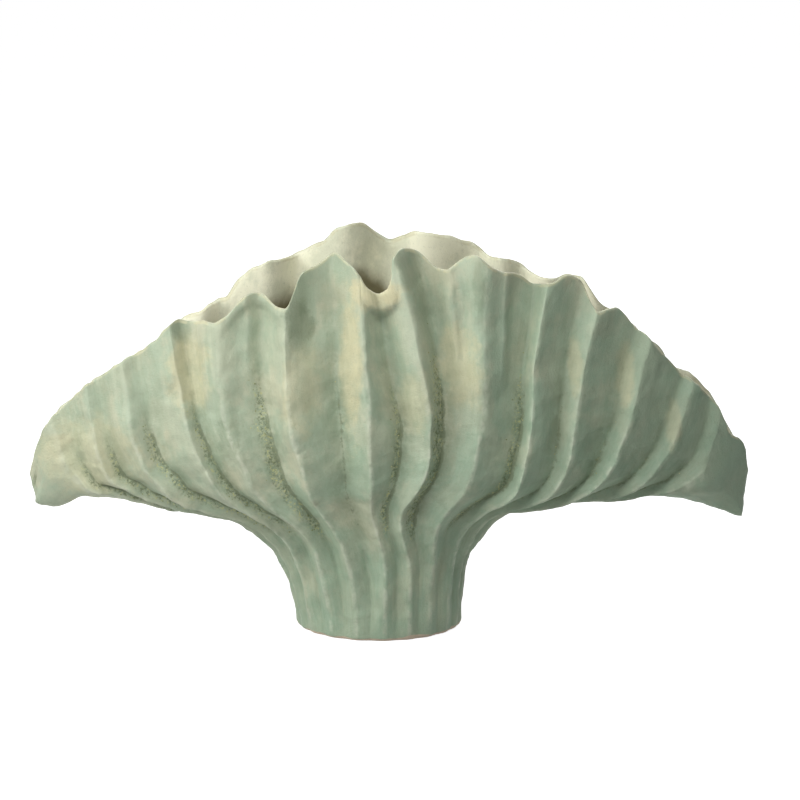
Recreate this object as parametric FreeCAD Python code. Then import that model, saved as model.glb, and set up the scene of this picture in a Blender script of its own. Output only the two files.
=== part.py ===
"""Fan vase: a hand-built stoneware flower vase, 450 mm wide, with a round fluted foot and a wide open fan.

The fan is a pair of fluted walls that stand on the foot, joined underneath by a keel strip on each side
and closed at each end by a blunt tip. Every piece was luted to its neighbours while the clay was damp,
so the pieces meet face to face and nothing on the vase moves.

Frame: millimetres, +Z up, X along the fan, -Y to the front. The origin is the centre of the resting face.

The whole surface is one family of closed loops round the vase. A loop is found by its level, a number that
counts the stations below from the foot to the rim. An angle goes round a loop: 0 degrees is the middle of
the front, 90 the right tip, 180 the middle of the back and 270 the left tip. Crest lines run from the foot
to the rim across the loops, and a concave flute lies between each two of them.
"""

import FreeCAD
import Part

import bisect
import math
import os

from FreeCAD import Vector

# Driving sizes of the outer form, in millimetres
LEFT_REACH = 219.0
RIGHT_REACH = 232.0
RIM_HEIGHT = 243.0
LEFT_TIP_HEIGHT = 96.0
RIGHT_TIP_HEIGHT = 98.0
FOOT_RADIUS = 52.0
SLAB_RADIUS = 52.5
LEFT_NECK = 61.5
RIGHT_NECK = 55.5
NECK_HALF_DEPTH = 51.0
NECK_HEIGHT = 40.0
BELLY_HALF_DEPTH = 62.0
MOUTH_HALF_DEPTH = 48.0

# Clay thickness
SLAB_THICKNESS = 9.0
FOOT_WALL = 7.0
FAN_WALL = 6.0
RIM_WALL = 3.4
LIP_RISE = 1.6

# Stations above the neck, up to the rim, as shares of the way from the neck's sizes to the full ones. Three
# stations lie below them: the resting face, the top of the slab and the neck.
LEFT_WIDTH_SHARES = (0.1, 0.28, 0.5, 0.66, 0.775, 0.886, 0.984, 1.0)
RIGHT_WIDTH_SHARES = (0.07, 0.23, 0.455, 0.64, 0.765, 0.875, 0.982, 1.0)
LEFT_END_SHARES = (0.325, 0.589, 0.68, 0.732, 0.741, 0.63, 0.6, 1.0)
RIGHT_END_SHARES = (0.335, 0.69, 0.737, 0.737, 0.703, 0.603, 0.455, 1.0)
CENTRE_SHARES = (0.1, 0.167, 0.232, 0.286, 0.37, 0.507, 0.709, 1.0)
BELLY_SHARES = (0.17, 0.33, 0.58, 0.83, 1.0, 1.0, 1.0, 1.0)
CLOSING_SHARES = (0.0, 0.0, 0.0, 0.0, 0.0, 0.14, 0.5, 1.0)
# How far a crest has swung from its angle on the foot to its angle on the rim, and how far it bows aside
SWING_SHARES = (0.35, 0.75, 0.95, 1.0, 1.0, 1.0, 1.0, 1.0)
BOW_SHARES = (0.0, 0.15, 0.5, 0.85, 1.0, 0.95, 0.6, 0.0)

# The arch of each loop from tip to tip, how much the plan narrows towards the tips and how blunt they end
ARCH_WIDTH_POWER = 1.6
ARCH_HEIGHT_POWER = 0.75
LENS_SHARE = 0.22
TIP_ROUND_POWER = 0.85

# Crest lines of each wall from its left tip to its right tip, seen from the front: first the angle on the
# foot and the bow halfway up, in degrees, then the place on the rim as a share of the reach. Then, for each
# flute between two crests, the place of its valley as a share of the way across. A nose has a round end.
FRONT_CREST_ANGLES = (
    (-84.0, 5.0), (-78.0, 2.5), (-66.0, 0.0), (-52.0, 1.5), (-34.0, 0.5), (-16.0, 0.0), (4.0, 1.5),
    (21.0, 7.0), (36.0, 1.0), (54.0, 0.8), (68.0, 0.0), (77.0, -1.5), (83.0, -1.5), (87.0, -1.0),
)
FRONT_CREST_SHARES = (
    -0.925, -0.815, -0.695, -0.585, -0.455, -0.254, -0.05, 0.037, 0.28, 0.443, 0.577, 0.72, 0.85, 0.93,
)
FRONT_VALLEY_SHARES = (0.35, 0.3, 0.3, 0.25, 0.58, 0.6, 0.5, 0.28, 0.78, 0.66, 0.68, 0.68, 0.62)
BACK_CREST_ANGLES = (
    (-84.0, 0.0), (-78.0, 0.0), (-66.0, 0.0), (-52.0, 0.0), (-37.0, 0.0), (-18.0, 0.0), (3.0, 0.0),
    (22.0, 0.0), (38.0, 0.0), (54.0, 0.0), (67.0, 0.0), (77.0, 0.0), (84.0, 0.0),
)
BACK_CREST_SHARES = (
    -0.92, -0.81, -0.69, -0.57, -0.46, -0.23, 0.02, 0.27, 0.385, 0.51, 0.64, 0.77, 0.9,
)
BACK_VALLEY_SHARES = (0.4, 0.36, 0.34, 0.4, 0.55, 0.5, 0.45, 0.6, 0.62, 0.6, 0.64, 0.6)
NOSE_VALLEY_SHARE = 0.5

# The wavy rim of each wall from its left tip to its right one, by its highs, lows and shoulders: share of the
# reach, share of the rim height
FRONT_RIM_SHARES = (
    (-1.0, 0.39), (-0.955, 0.515), (-0.85, 0.63), (-0.74, 0.7), (-0.63, 0.77), (-0.56, 0.825),
    (-0.465, 0.82), (-0.35, 0.897), (-0.258, 0.86), (-0.215, 0.945), (-0.18, 0.962), (-0.12, 0.996),
    (-0.05, 0.94), (-0.005, 0.91), (0.028, 0.93), (0.04, 0.985), (0.08, 1.015), (0.175, 0.957),
    (0.24, 0.997), (0.32, 0.954), (0.36, 0.95), (0.425, 0.915), (0.5, 0.94), (0.535, 0.93),
    (0.58, 0.847), (0.625, 0.856), (0.7, 0.788), (0.75, 0.735), (0.82, 0.67), (0.88, 0.62),
    (0.905, 0.59), (0.93, 0.52), (0.985, 0.475), (1.0, 0.4),
)
BACK_RIM_SHARES = (
    (-1.0, 0.39), (-0.91, 0.55), (-0.82, 0.605), (-0.77, 0.645), (-0.66, 0.7), (-0.6, 0.742),
    (-0.49, 0.803), (-0.45, 0.81), (-0.4, 0.875), (-0.31, 0.925), (-0.25, 0.921), (-0.17, 0.962),
    (-0.12, 1.008), (-0.06, 1.016), (0.024, 0.96), (0.12, 0.997), (0.16, 0.994), (0.25, 0.956),
    (0.32, 0.923), (0.363, 0.929), (0.382, 0.898), (0.44, 0.877), (0.55, 0.873), (0.62, 0.8),
    (0.67, 0.775), (0.75, 0.71), (0.79, 0.655), (0.84, 0.645), (0.92, 0.54), (1.0, 0.4),
)

# A flute's depth follows its own width at each level, and on the foot it's gentler
CREST_SHARE = 0.17
VALLEY_SHARE = 0.15
FOOT_RELIEF_SHARE = 0.4
RIM_RUFFLE_SHARE = 1.3
INNER_RELIEF_SHARE = 0.55
RIM_INNER_RELIEF_SHARE = 0.92
NOSE_CREST_SHARE = 0.25
# How rounded a crest is: a sharp pinch outside, softer on the foot, at the rim and inside
CREST_SOFTNESS_SHARE = 0.09
FOOT_SOFTNESS_SHARE = 0.5
RIM_SOFTNESS_SHARE = 0.45
INNER_SOFTNESS_SHARE = 0.6
# How rounded a valley is between its flat flanks
VALLEY_ROUND_SHARE = 0.4
RIM_ROUND_SHARE = 0.85

# Levels at which pieces meet: the slab's top, the neck, the joint between keel and tip, and the rim
FOOT_HEIGHTS = (0.0, SLAB_THICKNESS, NECK_HEIGHT)
NECK_LEVEL = len(FOOT_HEIGHTS) - 1
SLAB_LEVEL = NECK_LEVEL - 1
RIM_LEVEL = NECK_LEVEL + len(CENTRE_SHARES)
TIP_LEVEL = RIM_LEVEL - 3

# Control rows of each band, as shares of the way up it. They lie as close to a joint on one side as on the
# other, so that the surface runs straight on.
SLAB_ROW_SHARES = (0.0, 0.3, 0.85, 1.0)
FOOT_ROW_SHARES = (0.0, 0.15, 0.5, 0.85, 1.0)
LOWER_ROW_SHARES = (0.0, 0.03, 0.12, 0.24, 0.34, 0.44, 0.54, 0.66, 0.78, 0.88, 0.97, 1.0)
UPPER_ROW_SHARES = (0.0, 0.05, 0.2, 0.37, 0.53, 0.7, 0.83, 0.93, 1.0)
FLUTE_COLUMNS = 10
NOSE_COLUMNS = 16


def stations(below, spans_and_shares):
    """Values at every station: those up to the neck, then shares of spans beyond the neck."""
    count = len(CENTRE_SHARES)
    return list(below) + [below[-1] + sum(span * shares[i] for span, shares in spans_and_shares)
                          for i in range(count)]


def side_form(neck, reach, width_shares, tip_height, end_shares):
    """The stations of one end of the fan: distances from the middle, and heights of the line under it."""
    widths = stations((FOOT_RADIUS, SLAB_RADIUS, neck), [(reach - neck, width_shares)])
    heights = stations(FOOT_HEIGHTS, [(tip_height - NECK_HEIGHT, end_shares)])
    return {"neck": neck, "reach": reach, "widths": widths, "heights": heights}


LEFT = side_form(LEFT_NECK, LEFT_REACH, LEFT_WIDTH_SHARES, LEFT_TIP_HEIGHT, LEFT_END_SHARES)
RIGHT = side_form(RIGHT_NECK, RIGHT_REACH, RIGHT_WIDTH_SHARES, RIGHT_TIP_HEIGHT, RIGHT_END_SHARES)
CENTRE_HEIGHTS = stations(FOOT_HEIGHTS, [(RIM_HEIGHT - NECK_HEIGHT, CENTRE_SHARES)])
HALF_DEPTHS = stations((FOOT_RADIUS, SLAB_RADIUS, NECK_HALF_DEPTH),
                       [(BELLY_HALF_DEPTH - NECK_HALF_DEPTH, BELLY_SHARES),
                        (MOUTH_HALF_DEPTH - BELLY_HALF_DEPTH, CLOSING_SHARES)])
SWINGS = stations((0.0, 0.0, 0.0), [(1.0, SWING_SHARES)])
BOWS = stations((0.0, 0.0, 0.0), [(1.0, BOW_SHARES)])


def mix(start, end, share):
    return start + (end - start) * share


def ease(share):
    """A smooth step from 0 to 1."""
    share = min(1.0, max(0.0, share))
    return share * share * (3.0 - 2.0 * share)


def smooth_curve(places, values, at):
    """A smooth curve through points, with no overshoot between them."""
    last = len(values) - 1
    low = max(0, min(bisect.bisect_right(places, at) - 1, last - 1))
    runs = [places[i + 1] - places[i] for i in range(last)]
    slopes = [(values[i + 1] - values[i]) / runs[i] for i in range(last)]

    def slope(i):
        if i == 0 or i == last:
            return slopes[0] if i == 0 else slopes[-1]
        before, after = slopes[i - 1], slopes[i]
        return 0.0 if before * after <= 0.0 else 2.0 * before * after / (before + after)

    share = (at - places[low]) / runs[low]
    square, cube = share * share, share ** 3
    return (values[low] * (2.0 * cube - 3.0 * square + 1.0)
            + slope(low) * runs[low] * (cube - 2.0 * square + share)
            + values[low + 1] * (3.0 * square - 2.0 * cube)
            + slope(low + 1) * runs[low] * (cube - square))


def along(values, level):
    """A smooth curve through the values at whole levels."""
    return smooth_curve(range(len(values)), values, level)


def near_rim(level):
    """0 up to the joint between keel and tip, rising smoothly to 1 at the rim."""
    return ease((level - TIP_LEVEL) / (RIM_LEVEL - TIP_LEVEL))


def wall_at(level):
    """Thickness of the clay at a level."""
    if level <= TIP_LEVEL:
        return mix(FOOT_WALL, FAN_WALL, ease((level - SLAB_LEVEL) / (TIP_LEVEL - SLAB_LEVEL)))
    return mix(FAN_WALL, RIM_WALL, near_rim(level))


def loop_point(angle, level):
    """A point of the plain form, before the flutes, at an angle in radians round the loop of a level."""
    side, front = math.sin(angle), math.cos(angle)
    end = LEFT if side < 0.0 else RIGHT
    width = along(end["widths"], level)
    opened = ease((width - end["neck"]) / (end["reach"] - end["neck"]))
    lens = 1.0 - LENS_SHARE * opened * side * side
    depth = along(HALF_DEPTHS, level) * lens * abs(front) ** mix(1.0, TIP_ROUND_POWER, opened)
    arch = max(0.0, 1.0 - abs(side) ** ARCH_WIDTH_POWER) ** ARCH_HEIGHT_POWER
    height = mix(along(end["heights"], level), along(CENTRE_HEIGHTS, level), arch)
    return Vector(width * side, -math.copysign(depth, front), height)


def outward(angle, level):
    """Unit normal of the plain form, pointing out of the vase, level all round the slab."""
    turn, lift = 0.01, 0.4
    across = loop_point(angle + turn, level) - loop_point(angle - turn, level)
    up = loop_point(angle, min(RIM_LEVEL, level + lift)) - loop_point(angle, max(0.0, level - lift))
    normal = across.cross(up).normalize()
    normal.z *= ease(level - SLAB_LEVEL)
    return normal.normalize()


def rim_angle(share, is_back):
    """Angle round the rim of a crest, from its place as a share of the reach."""
    angle = math.asin(share)
    return math.pi - angle if is_back else angle


def all_crests():
    """Every crest in turn round the vase, as (angle on the foot, bow, angle on the rim)."""
    front = [(math.radians(foot), math.radians(bow), rim_angle(share, False))
             for (foot, bow), share in zip(FRONT_CREST_ANGLES, FRONT_CREST_SHARES)]
    back = [(math.pi - math.radians(foot), -math.radians(bow), rim_angle(share, True))
            for (foot, bow), share in zip(BACK_CREST_ANGLES, BACK_CREST_SHARES)]
    return front + back[::-1]


CRESTS = all_crests()
FRONT_FLUTES = range(0, len(FRONT_CREST_SHARES) - 1)
RIGHT_NOSE = len(FRONT_CREST_SHARES) - 1
BACK_FLUTES = range(len(FRONT_CREST_SHARES), len(CRESTS) - 1)
LEFT_NOSE = len(CRESTS) - 1
NOSES = (LEFT_NOSE, RIGHT_NOSE)
VALLEY_SHARES = (FRONT_VALLEY_SHARES + (NOSE_VALLEY_SHARE,)
                 + tuple(1.0 - share for share in reversed(BACK_VALLEY_SHARES)) + (NOSE_VALLEY_SHARE,))


def crest_angle(number, level):
    """Angle of a crest at a level. Crest numbers past the last go on round the vase."""
    laps, number = divmod(number, len(CRESTS))
    foot, bow, rim = CRESTS[number]
    return mix(foot, rim, along(SWINGS, level)) + bow * along(BOWS, level) + laps * 2.0 * math.pi


def flute_width(flute, level):
    """Straight distance between the two crests of a flute."""
    return (loop_point(crest_angle(flute + 1, level), level)
            - loop_point(crest_angle(flute, level), level)).Length


def crest_height(number, level):
    """How far a crest stands out of the plain form: a share of its narrower flute."""
    before = (number - 1) % len(CRESTS)
    return CREST_SHARE * min(flute_width(before, level), flute_width(number % len(CRESTS), level))


def ridge(toward, round_share, softness):
    """1 on a crest and 0 in the valley, at a share of the way down a flank to the valley."""
    low = mix(toward, math.sin(toward * math.pi / 2.0), round_share)
    rounded = math.sqrt(low ** 2 + softness ** 2) - softness
    return 1.0 - rounded / (math.sqrt(1.0 + softness ** 2) - softness)


def relief(flute, share, level, inner):
    """Distance from the plain form to the fluted one, at a share of the way across a flute."""
    rim = near_rim(level)
    if inner:
        depth, softness = mix(INNER_RELIEF_SHARE, RIM_INNER_RELIEF_SHARE, rim), INNER_SOFTNESS_SHARE
        round_share = 1.0
    else:
        depth = mix(FOOT_RELIEF_SHARE, 1.0, ease(level / (NECK_LEVEL + SLAB_LEVEL)))
        softness = mix(FOOT_SOFTNESS_SHARE, CREST_SOFTNESS_SHARE, ease(level / (NECK_LEVEL + NECK_LEVEL)))
        softness = mix(softness, RIM_SOFTNESS_SHARE, rim)
        round_share = mix(VALLEY_ROUND_SHARE, RIM_ROUND_SHARE, rim)
    depth *= mix(1.0, RIM_RUFFLE_SHARE, rim)
    crest = mix(crest_height(flute, level), crest_height(flute + 1, level), share)
    if flute in NOSES:
        return depth * crest * ridge(min(1.0, min(share, 1.0 - share) / NOSE_CREST_SHARE), 1.0, softness)
    valley = mix(NOSE_VALLEY_SHARE, VALLEY_SHARES[flute],
                 ease((level - NECK_LEVEL) / (TIP_LEVEL - NECK_LEVEL)))
    high = ridge(min(share / valley, (1.0 - share) / (1.0 - valley)), round_share, softness)
    return depth * (crest * high - VALLEY_SHARE * flute_width(flute, level) * (1.0 - high))


def rim_rise(flute, share):
    """Rise of the wavy rim above the plain form."""
    angle = mix(crest_angle(flute, RIM_LEVEL), crest_angle(flute + 1, RIM_LEVEL), share)
    plain = loop_point(angle, RIM_LEVEL)
    side = plain.x / (LEFT_REACH if plain.x < 0.0 else RIGHT_REACH)
    places, heights = zip(*(FRONT_RIM_SHARES if math.cos(angle) > 0.0 else BACK_RIM_SHARES))
    return smooth_curve(places, heights, side) * RIM_HEIGHT - plain.z


def surface_point(flute, share, level, inner=False):
    """A point of the finished outer or inner face."""
    angle = mix(crest_angle(flute, level), crest_angle(flute + 1, level), share)
    offset = relief(flute, share, level, inner) - (wall_at(level) if inner else 0.0)
    point = loop_point(angle, level) + outward(angle, level) * offset
    point.z += rim_rise(flute, share) * near_rim(level)
    return point


def band(first, last, shares):
    """The levels of the control rows from one level to another."""
    return [mix(first, last, share) for share in shares]


SLAB_ROWS = band(0, SLAB_LEVEL, SLAB_ROW_SHARES)
FOOT_ROWS = band(SLAB_LEVEL, NECK_LEVEL, FOOT_ROW_SHARES)
LOWER_ROWS = band(NECK_LEVEL, TIP_LEVEL, LOWER_ROW_SHARES)
UPPER_ROWS = band(TIP_LEVEL, RIM_LEVEL, UPPER_ROW_SHARES)


def flute_shares(flute):
    count = NOSE_COLUMNS if flute in NOSES else FLUTE_COLUMNS
    return [i / (count - 1) for i in range(count)]


def control_rows(flute, rows, inner):
    """Control points of one face: a row for each level, a column for each share of the flute."""
    return [[surface_point(flute, share, level, inner) for share in flute_shares(flute)] for level in rows]


def clamped(count, degree):
    """Knots and multiplicities of an even clamped spline with this many control points."""
    spans = count - degree
    knots = [float(i) for i in range(spans + 1)]
    return knots, [degree + 1] + [1] * (spans - 1) + [degree + 1]


def face_on(grid):
    """A spline face on a grid of control points, straight in a direction that has only two of them."""
    row_degree, column_degree = min(3, len(grid) - 1), min(3, len(grid[0]) - 1)
    row_knots, row_mults = clamped(len(grid), row_degree)
    column_knots, column_mults = clamped(len(grid[0]), column_degree)
    surface = Part.BSplineSurface()
    surface.buildFromPolesMultsKnots(grid, row_mults, column_mults, row_knots, column_knots,
                                     False, False, row_degree, column_degree)
    return surface.toShape()


def edge_on(points):
    """A spline edge on a row of control points."""
    degree = min(3, len(points) - 1)
    knots, mults = clamped(len(points), degree)
    curve = Part.BSplineCurve()
    curve.buildFromPolesMultsKnots(points, mults, knots, False, degree)
    return curve.toShape()


def solid_of(faces):
    """One closed solid from faces that share their edges."""
    shell = Part.makeShell(faces)
    shell.sewShape()
    solid = Part.makeSolid(shell)
    if solid.Volume < 0.0:
        solid.reverse()
    return solid


def joint_face(flute, level):
    """The face across the clay between the outer and inner faces of a flute, where two pieces meet."""
    return face_on([control_rows(flute, (level,), inner)[0] for inner in (False, True)])


def lip_points(outer, inner):
    """Four control points over the thin edge of the rim, from its outer to its inner corner."""
    rise = Vector(0.0, 0.0, LIP_RISE)
    return [outer, outer + rise, inner + rise, inner]


def lip_face(flute):
    """The rounded edge of the rim over one flute."""
    outer = control_rows(flute, (RIM_LEVEL,), False)[0]
    inner = control_rows(flute, (RIM_LEVEL,), True)[0]
    columns = [lip_points(a, b) for a, b in zip(outer, inner)]
    return face_on([[column[i] for column in columns] for i in range(len(columns[0]))])


def end_faces(crest, bands):
    """The faces across the clay along a crest line, where a wall meets a keel or a tip."""
    flute, share = crest % len(CRESTS), 0.0
    faces = []
    for rows in bands:
        faces.append(face_on([[surface_point(flute, share, level, inner) for level in rows]
                              for inner in (False, True)]))
    if bands[-1][-1] == RIM_LEVEL:
        outer = surface_point(flute, share, RIM_LEVEL)
        inner = surface_point(flute, share, RIM_LEVEL, True)
        lip = edge_on(lip_points(outer, inner))
        faces.append(Part.Face(Part.Wire([lip, Part.makeLine(inner, outer)])))
    return faces


def shell_piece(flutes, bands, closed=False):
    """A fluted piece of wall over neighbouring flutes and bands of levels."""
    faces = []
    for flute in flutes:
        for rows in bands:
            faces.append(face_on(control_rows(flute, rows, False)))
            faces.append(face_on(control_rows(flute, rows, True)))
        faces.append(joint_face(flute, bands[0][0]))
        faces.append(lip_face(flute) if bands[-1][-1] == RIM_LEVEL else joint_face(flute, bands[-1][-1]))
    if not closed:
        faces += end_faces(flutes[0], bands) + end_faces(flutes[-1] + 1, bands)
    return solid_of(faces)


def base_slab():
    """The slab that closes the foot: a disc inside the foot's ring, flat above and below."""
    flutes = range(len(CRESTS))
    faces = [face_on(control_rows(flute, SLAB_ROWS, True)) for flute in flutes]
    for level in (SLAB_ROWS[0], SLAB_ROWS[-1]):
        edges = [edge_on(control_rows(flute, (level,), True)[0]) for flute in flutes]
        faces.append(Part.Face(Part.Wire(edges)))
    return solid_of(faces)


def pieces():
    """Every piece of the vase by name."""
    return {
        "base_slab": base_slab(),
        "foot_wall": shell_piece(range(len(CRESTS)), [SLAB_ROWS, FOOT_ROWS], closed=True),
        "front_fan_wall": shell_piece(FRONT_FLUTES, [LOWER_ROWS, UPPER_ROWS]),
        "back_fan_wall": shell_piece(BACK_FLUTES, [LOWER_ROWS, UPPER_ROWS]),
        "left_keel": shell_piece([LEFT_NOSE], [LOWER_ROWS]),
        "right_keel": shell_piece([RIGHT_NOSE], [LOWER_ROWS]),
        "left_tip": shell_piece([LEFT_NOSE], [UPPER_ROWS]),
        "right_tip": shell_piece([RIGHT_NOSE], [UPPER_ROWS]),
    }


def main():
    os.makedirs("parts", exist_ok=True)
    for name, solid in pieces().items():
        box = solid.BoundBox
        print(name, "valid" if solid.isValid() else "NOT VALID", "solids", len(solid.Solids),
              "volume", round(solid.Volume), "size", round(box.XLength, 1), round(box.YLength, 1),
              round(box.ZLength, 1))
        solid.exportStep(os.path.join("parts", name + ".step"))


if __name__ == "__main__":
    main()
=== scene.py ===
"""Dresses the fan vase: hand-built stoneware under a matt sage glaze, on the fixed frame of its solids.

Metres throughout, +Z up, X along the fan, -Y to the front. The form is one family of closed loops from the
foot to the rim. A loop has a level, which counts the stations from the resting face to the rim, and an angle
goes round it: 0 is the middle of the front and a quarter turn is the right tip. Crest lines run up across the
loops, and each two of them hold a concave flute.
"""

import logging
import math
from collections.abc import Callable, Sequence
from dataclasses import dataclass, field
from enum import Enum
from functools import reduce

import bpy
import numpy as np
from bpy.types import ID, Material, Mesh, Node, NodeSocket, NodeTree, Object, bpy_prop_collection
from mathutils import Matrix, Vector


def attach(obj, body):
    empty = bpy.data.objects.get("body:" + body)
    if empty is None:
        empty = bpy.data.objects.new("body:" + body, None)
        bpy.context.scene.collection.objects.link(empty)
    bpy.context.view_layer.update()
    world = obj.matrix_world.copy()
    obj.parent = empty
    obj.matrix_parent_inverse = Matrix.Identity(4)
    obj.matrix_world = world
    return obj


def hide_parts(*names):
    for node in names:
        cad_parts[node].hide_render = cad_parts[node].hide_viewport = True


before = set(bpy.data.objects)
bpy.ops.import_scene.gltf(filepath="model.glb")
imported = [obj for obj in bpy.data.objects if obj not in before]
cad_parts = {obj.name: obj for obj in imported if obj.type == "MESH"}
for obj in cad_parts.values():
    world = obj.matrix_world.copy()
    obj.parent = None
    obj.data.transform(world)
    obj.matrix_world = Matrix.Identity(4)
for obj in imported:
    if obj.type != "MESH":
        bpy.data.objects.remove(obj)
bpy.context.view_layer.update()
log = logging.getLogger("fan_vase")
Array = np.ndarray
Numbers = tuple[float, ...]
# Vertices closer than this, in metres, share one normal
SAME_PLACE = 1e-6

# The same stations as the solids: the resting face, the slab's top, the neck, then eight more up to the rim
SLAB_LEVEL, NECK_LEVEL, TIP_LEVEL, RIM_LEVEL = 1.0, 2.0, 7.0, 10.0


def mix(start: Array | float, end: Array | float, share: Array | float) -> Array | float:
    """Blend two values by a share from 0 to 1."""
    return start + (end - start) * share


def ease(share: Array | float) -> Array:
    """A smooth step from 0 to 1."""
    share = np.clip(share, 0.0, 1.0)
    return share * share * (3.0 - 2.0 * share)


def rise(value: Array | float, start: float, end: float) -> Array:
    """A smooth step of a value, from 0 at a start to 1 at an end on either side of it."""
    return ease((value - start) / (end - start))


def smooth_curve(places: Sequence[float], values: Sequence[float], at: Array | float) -> Array:
    """A smooth curve through points, with no overshoot between them.

    Args:
        places: where the points are, rising.
        values: the value at each point.
        at: the places to read.

    Returns:
        The curve's values there.
    """
    places, values, at = np.asarray(places, float), np.asarray(values, float), np.asarray(at, float)
    runs = np.diff(places)
    secants = np.diff(values) / runs
    slopes = np.empty(len(values))
    slopes[0], slopes[-1] = secants[0], secants[-1]
    before, after = secants[:-1], secants[1:]
    together = np.where(before + after == 0.0, 1.0, before + after)
    slopes[1:-1] = np.where(before * after <= 0.0, 0.0, 2.0 * before * after / together)
    low = np.clip(np.searchsorted(places, at, side="right") - 1, 0, len(runs) - 1)
    share = (at - places[low]) / runs[low]
    square, cube = share * share, share ** 3
    return (values[low] * (2.0 * cube - 3.0 * square + 1.0)
            + slopes[low] * runs[low] * (cube - 2.0 * square + share)
            + values[low + 1] * (3.0 * square - 2.0 * cube)
            + slopes[low + 1] * runs[low] * (cube - square))


def along(values: Sequence[float], level: Array | float) -> Array:
    """A smooth curve through the values at whole levels."""
    return smooth_curve(range(len(values)), values, level)


@dataclass(frozen=True)
class Wing:
    """One half of the fan, from the middle out to its tip."""

    neck: float
    reach: float
    tip_height: float
    width_shares: Numbers
    end_shares: Numbers


@dataclass(frozen=True)
class Crest:
    """One crest line: degrees on the foot, bow above the middle in degrees, share of the reach at the rim.

    The sway, in degrees too, carries the line aside below the middle and a little back above it.
    """

    foot: float
    bow: float
    rim_share: float
    sway: float = 0.0


def window(share: Array) -> Array:
    """0 at both crests of a flute and 1 in its middle."""
    return np.sin(math.pi * np.clip(share, 0.0, 1.0))


@dataclass(frozen=True)
class Feature:
    """Something that the maker's thumbs left in one flute."""

    flute: int

    def relief(self, share: Array, level: Array) -> Array:
        """How far the clay stands out at places in the flute."""
        raise NotImplementedError


@dataclass(frozen=True)
class MinorCrest(Feature):
    """A low extra crest that starts at the rim and fades out below."""

    share: float
    height: float
    half_width_share: float
    fade_level: float

    def relief(self, share: Array, level: Array) -> Array:
        """How far this crest stands out at places in the flute."""
        near = np.maximum(0.0, 1.0 - np.abs(share - self.share) / self.half_width_share)
        return self.height * near * near * rise(level, self.fade_level, RIM_LEVEL)


@dataclass(frozen=True)
class RolledLip(Feature):
    """A stretch of rim that rolls outward."""

    reach: float
    start_level: float
    full_level: float

    def relief(self, share: Array, level: Array) -> Array:
        """How far the lip stands out at places in the flute."""
        return self.reach * window(share) * rise(level, self.start_level, self.full_level)


@dataclass(frozen=True)
class Dimple(Feature):
    """A thumb mark, with or without a raised rim round it."""

    share: float
    level: float
    half_share: float
    half_level: float
    depth: float
    rim: float = 0.0

    def relief(self, share: Array, level: Array) -> Array:
        """How far the clay stands out at places in the flute."""
        away = ((share - self.share) / self.half_share) ** 2 + ((level - self.level) / self.half_level) ** 2
        return window(share) ** 0.5 * (self.rim * away - self.depth) * np.exp(-away)


FRONT_CRESTS = tuple(Crest(*row) for row in (
    (-84.0, 4.0, -0.925, -2.5), (-78.0, 0.5, -0.83, -4.5), (-66.0, 1.5, -0.725, -3.5),
    (-52.0, 2.6, -0.585, -1.2), (-34.0, 1.2, -0.455), (-16.0, 0.0, -0.254), (4.0, 1.5, -0.05),
    (21.0, 7.0, 0.037), (36.0, 1.0, 0.28, 0.8), (54.0, -0.8, 0.443, 4.2), (68.0, -1.6, 0.577, 4.4),
    (77.0, -2.7, 0.72, 3.4), (83.0, -4.6, 0.845, 5.0), (87.0, -3.5, 0.912, 3.0),
))
BACK_CRESTS = tuple(Crest(foot, 0.0, rim_share) for foot, rim_share in (
    (-84.0, -0.92), (-78.0, -0.81), (-66.0, -0.69), (-52.0, -0.57), (-37.0, -0.46), (-18.0, -0.23),
    (3.0, 0.02), (22.0, 0.27), (38.0, 0.385), (54.0, 0.51), (67.0, 0.64), (77.0, 0.77), (84.0, 0.9),
))
# Where the valley of each flute lies, from its left crest to its right one. A nose is a plain round end.
FRONT_VALLEY_SHARES = (0.35, 0.3, 0.3, 0.25, 0.58, 0.6, 0.5, 0.28, 0.84, 0.74, 0.76, 0.74, 0.68)
BACK_VALLEY_SHARES = (0.4, 0.36, 0.34, 0.4, 0.55, 0.5, 0.45, 0.6, 0.62, 0.6, 0.64, 0.6)
FLUTES = len(FRONT_CRESTS) + len(BACK_CRESTS)
# The glaze's streaks are read on a ring on which each flute is one unit long
RING_RADIUS = FLUTES / (2.0 * math.pi)
RIGHT_NOSE = len(FRONT_CRESTS) - 1
LEFT_NOSE = FLUTES - 1
VALLEY_SHARES = (*FRONT_VALLEY_SHARES, 0.5, *reversed([1.0 - share for share in BACK_VALLEY_SHARES]), 0.5)

# The wavy rim of each wall from its left tip to its right one, by its highs, lows and shoulders: share of the
# reach, share of the rim height
FRONT_RIM_SHARES = (
    (-1.0, 0.39), (-0.955, 0.515), (-0.85, 0.63), (-0.74, 0.7), (-0.63, 0.77), (-0.56, 0.825),
    (-0.465, 0.82), (-0.35, 0.897), (-0.258, 0.86), (-0.215, 0.945), (-0.18, 0.962), (-0.12, 0.996),
    (-0.074, 0.965), (-0.05, 0.938), (-0.032, 0.91), (-0.004, 0.898), (0.022, 0.908), (0.033, 0.935),
    (0.039, 0.985), (0.058, 1.005), (0.08, 1.01), (0.175, 0.957),
    (0.24, 0.997), (0.32, 0.954), (0.36, 0.95), (0.425, 0.915), (0.5, 0.94), (0.535, 0.93),
    (0.58, 0.847), (0.625, 0.856), (0.7, 0.788), (0.75, 0.735), (0.82, 0.67), (0.88, 0.62),
    (0.905, 0.59), (0.93, 0.52), (0.985, 0.475), (1.0, 0.4),
)
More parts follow.
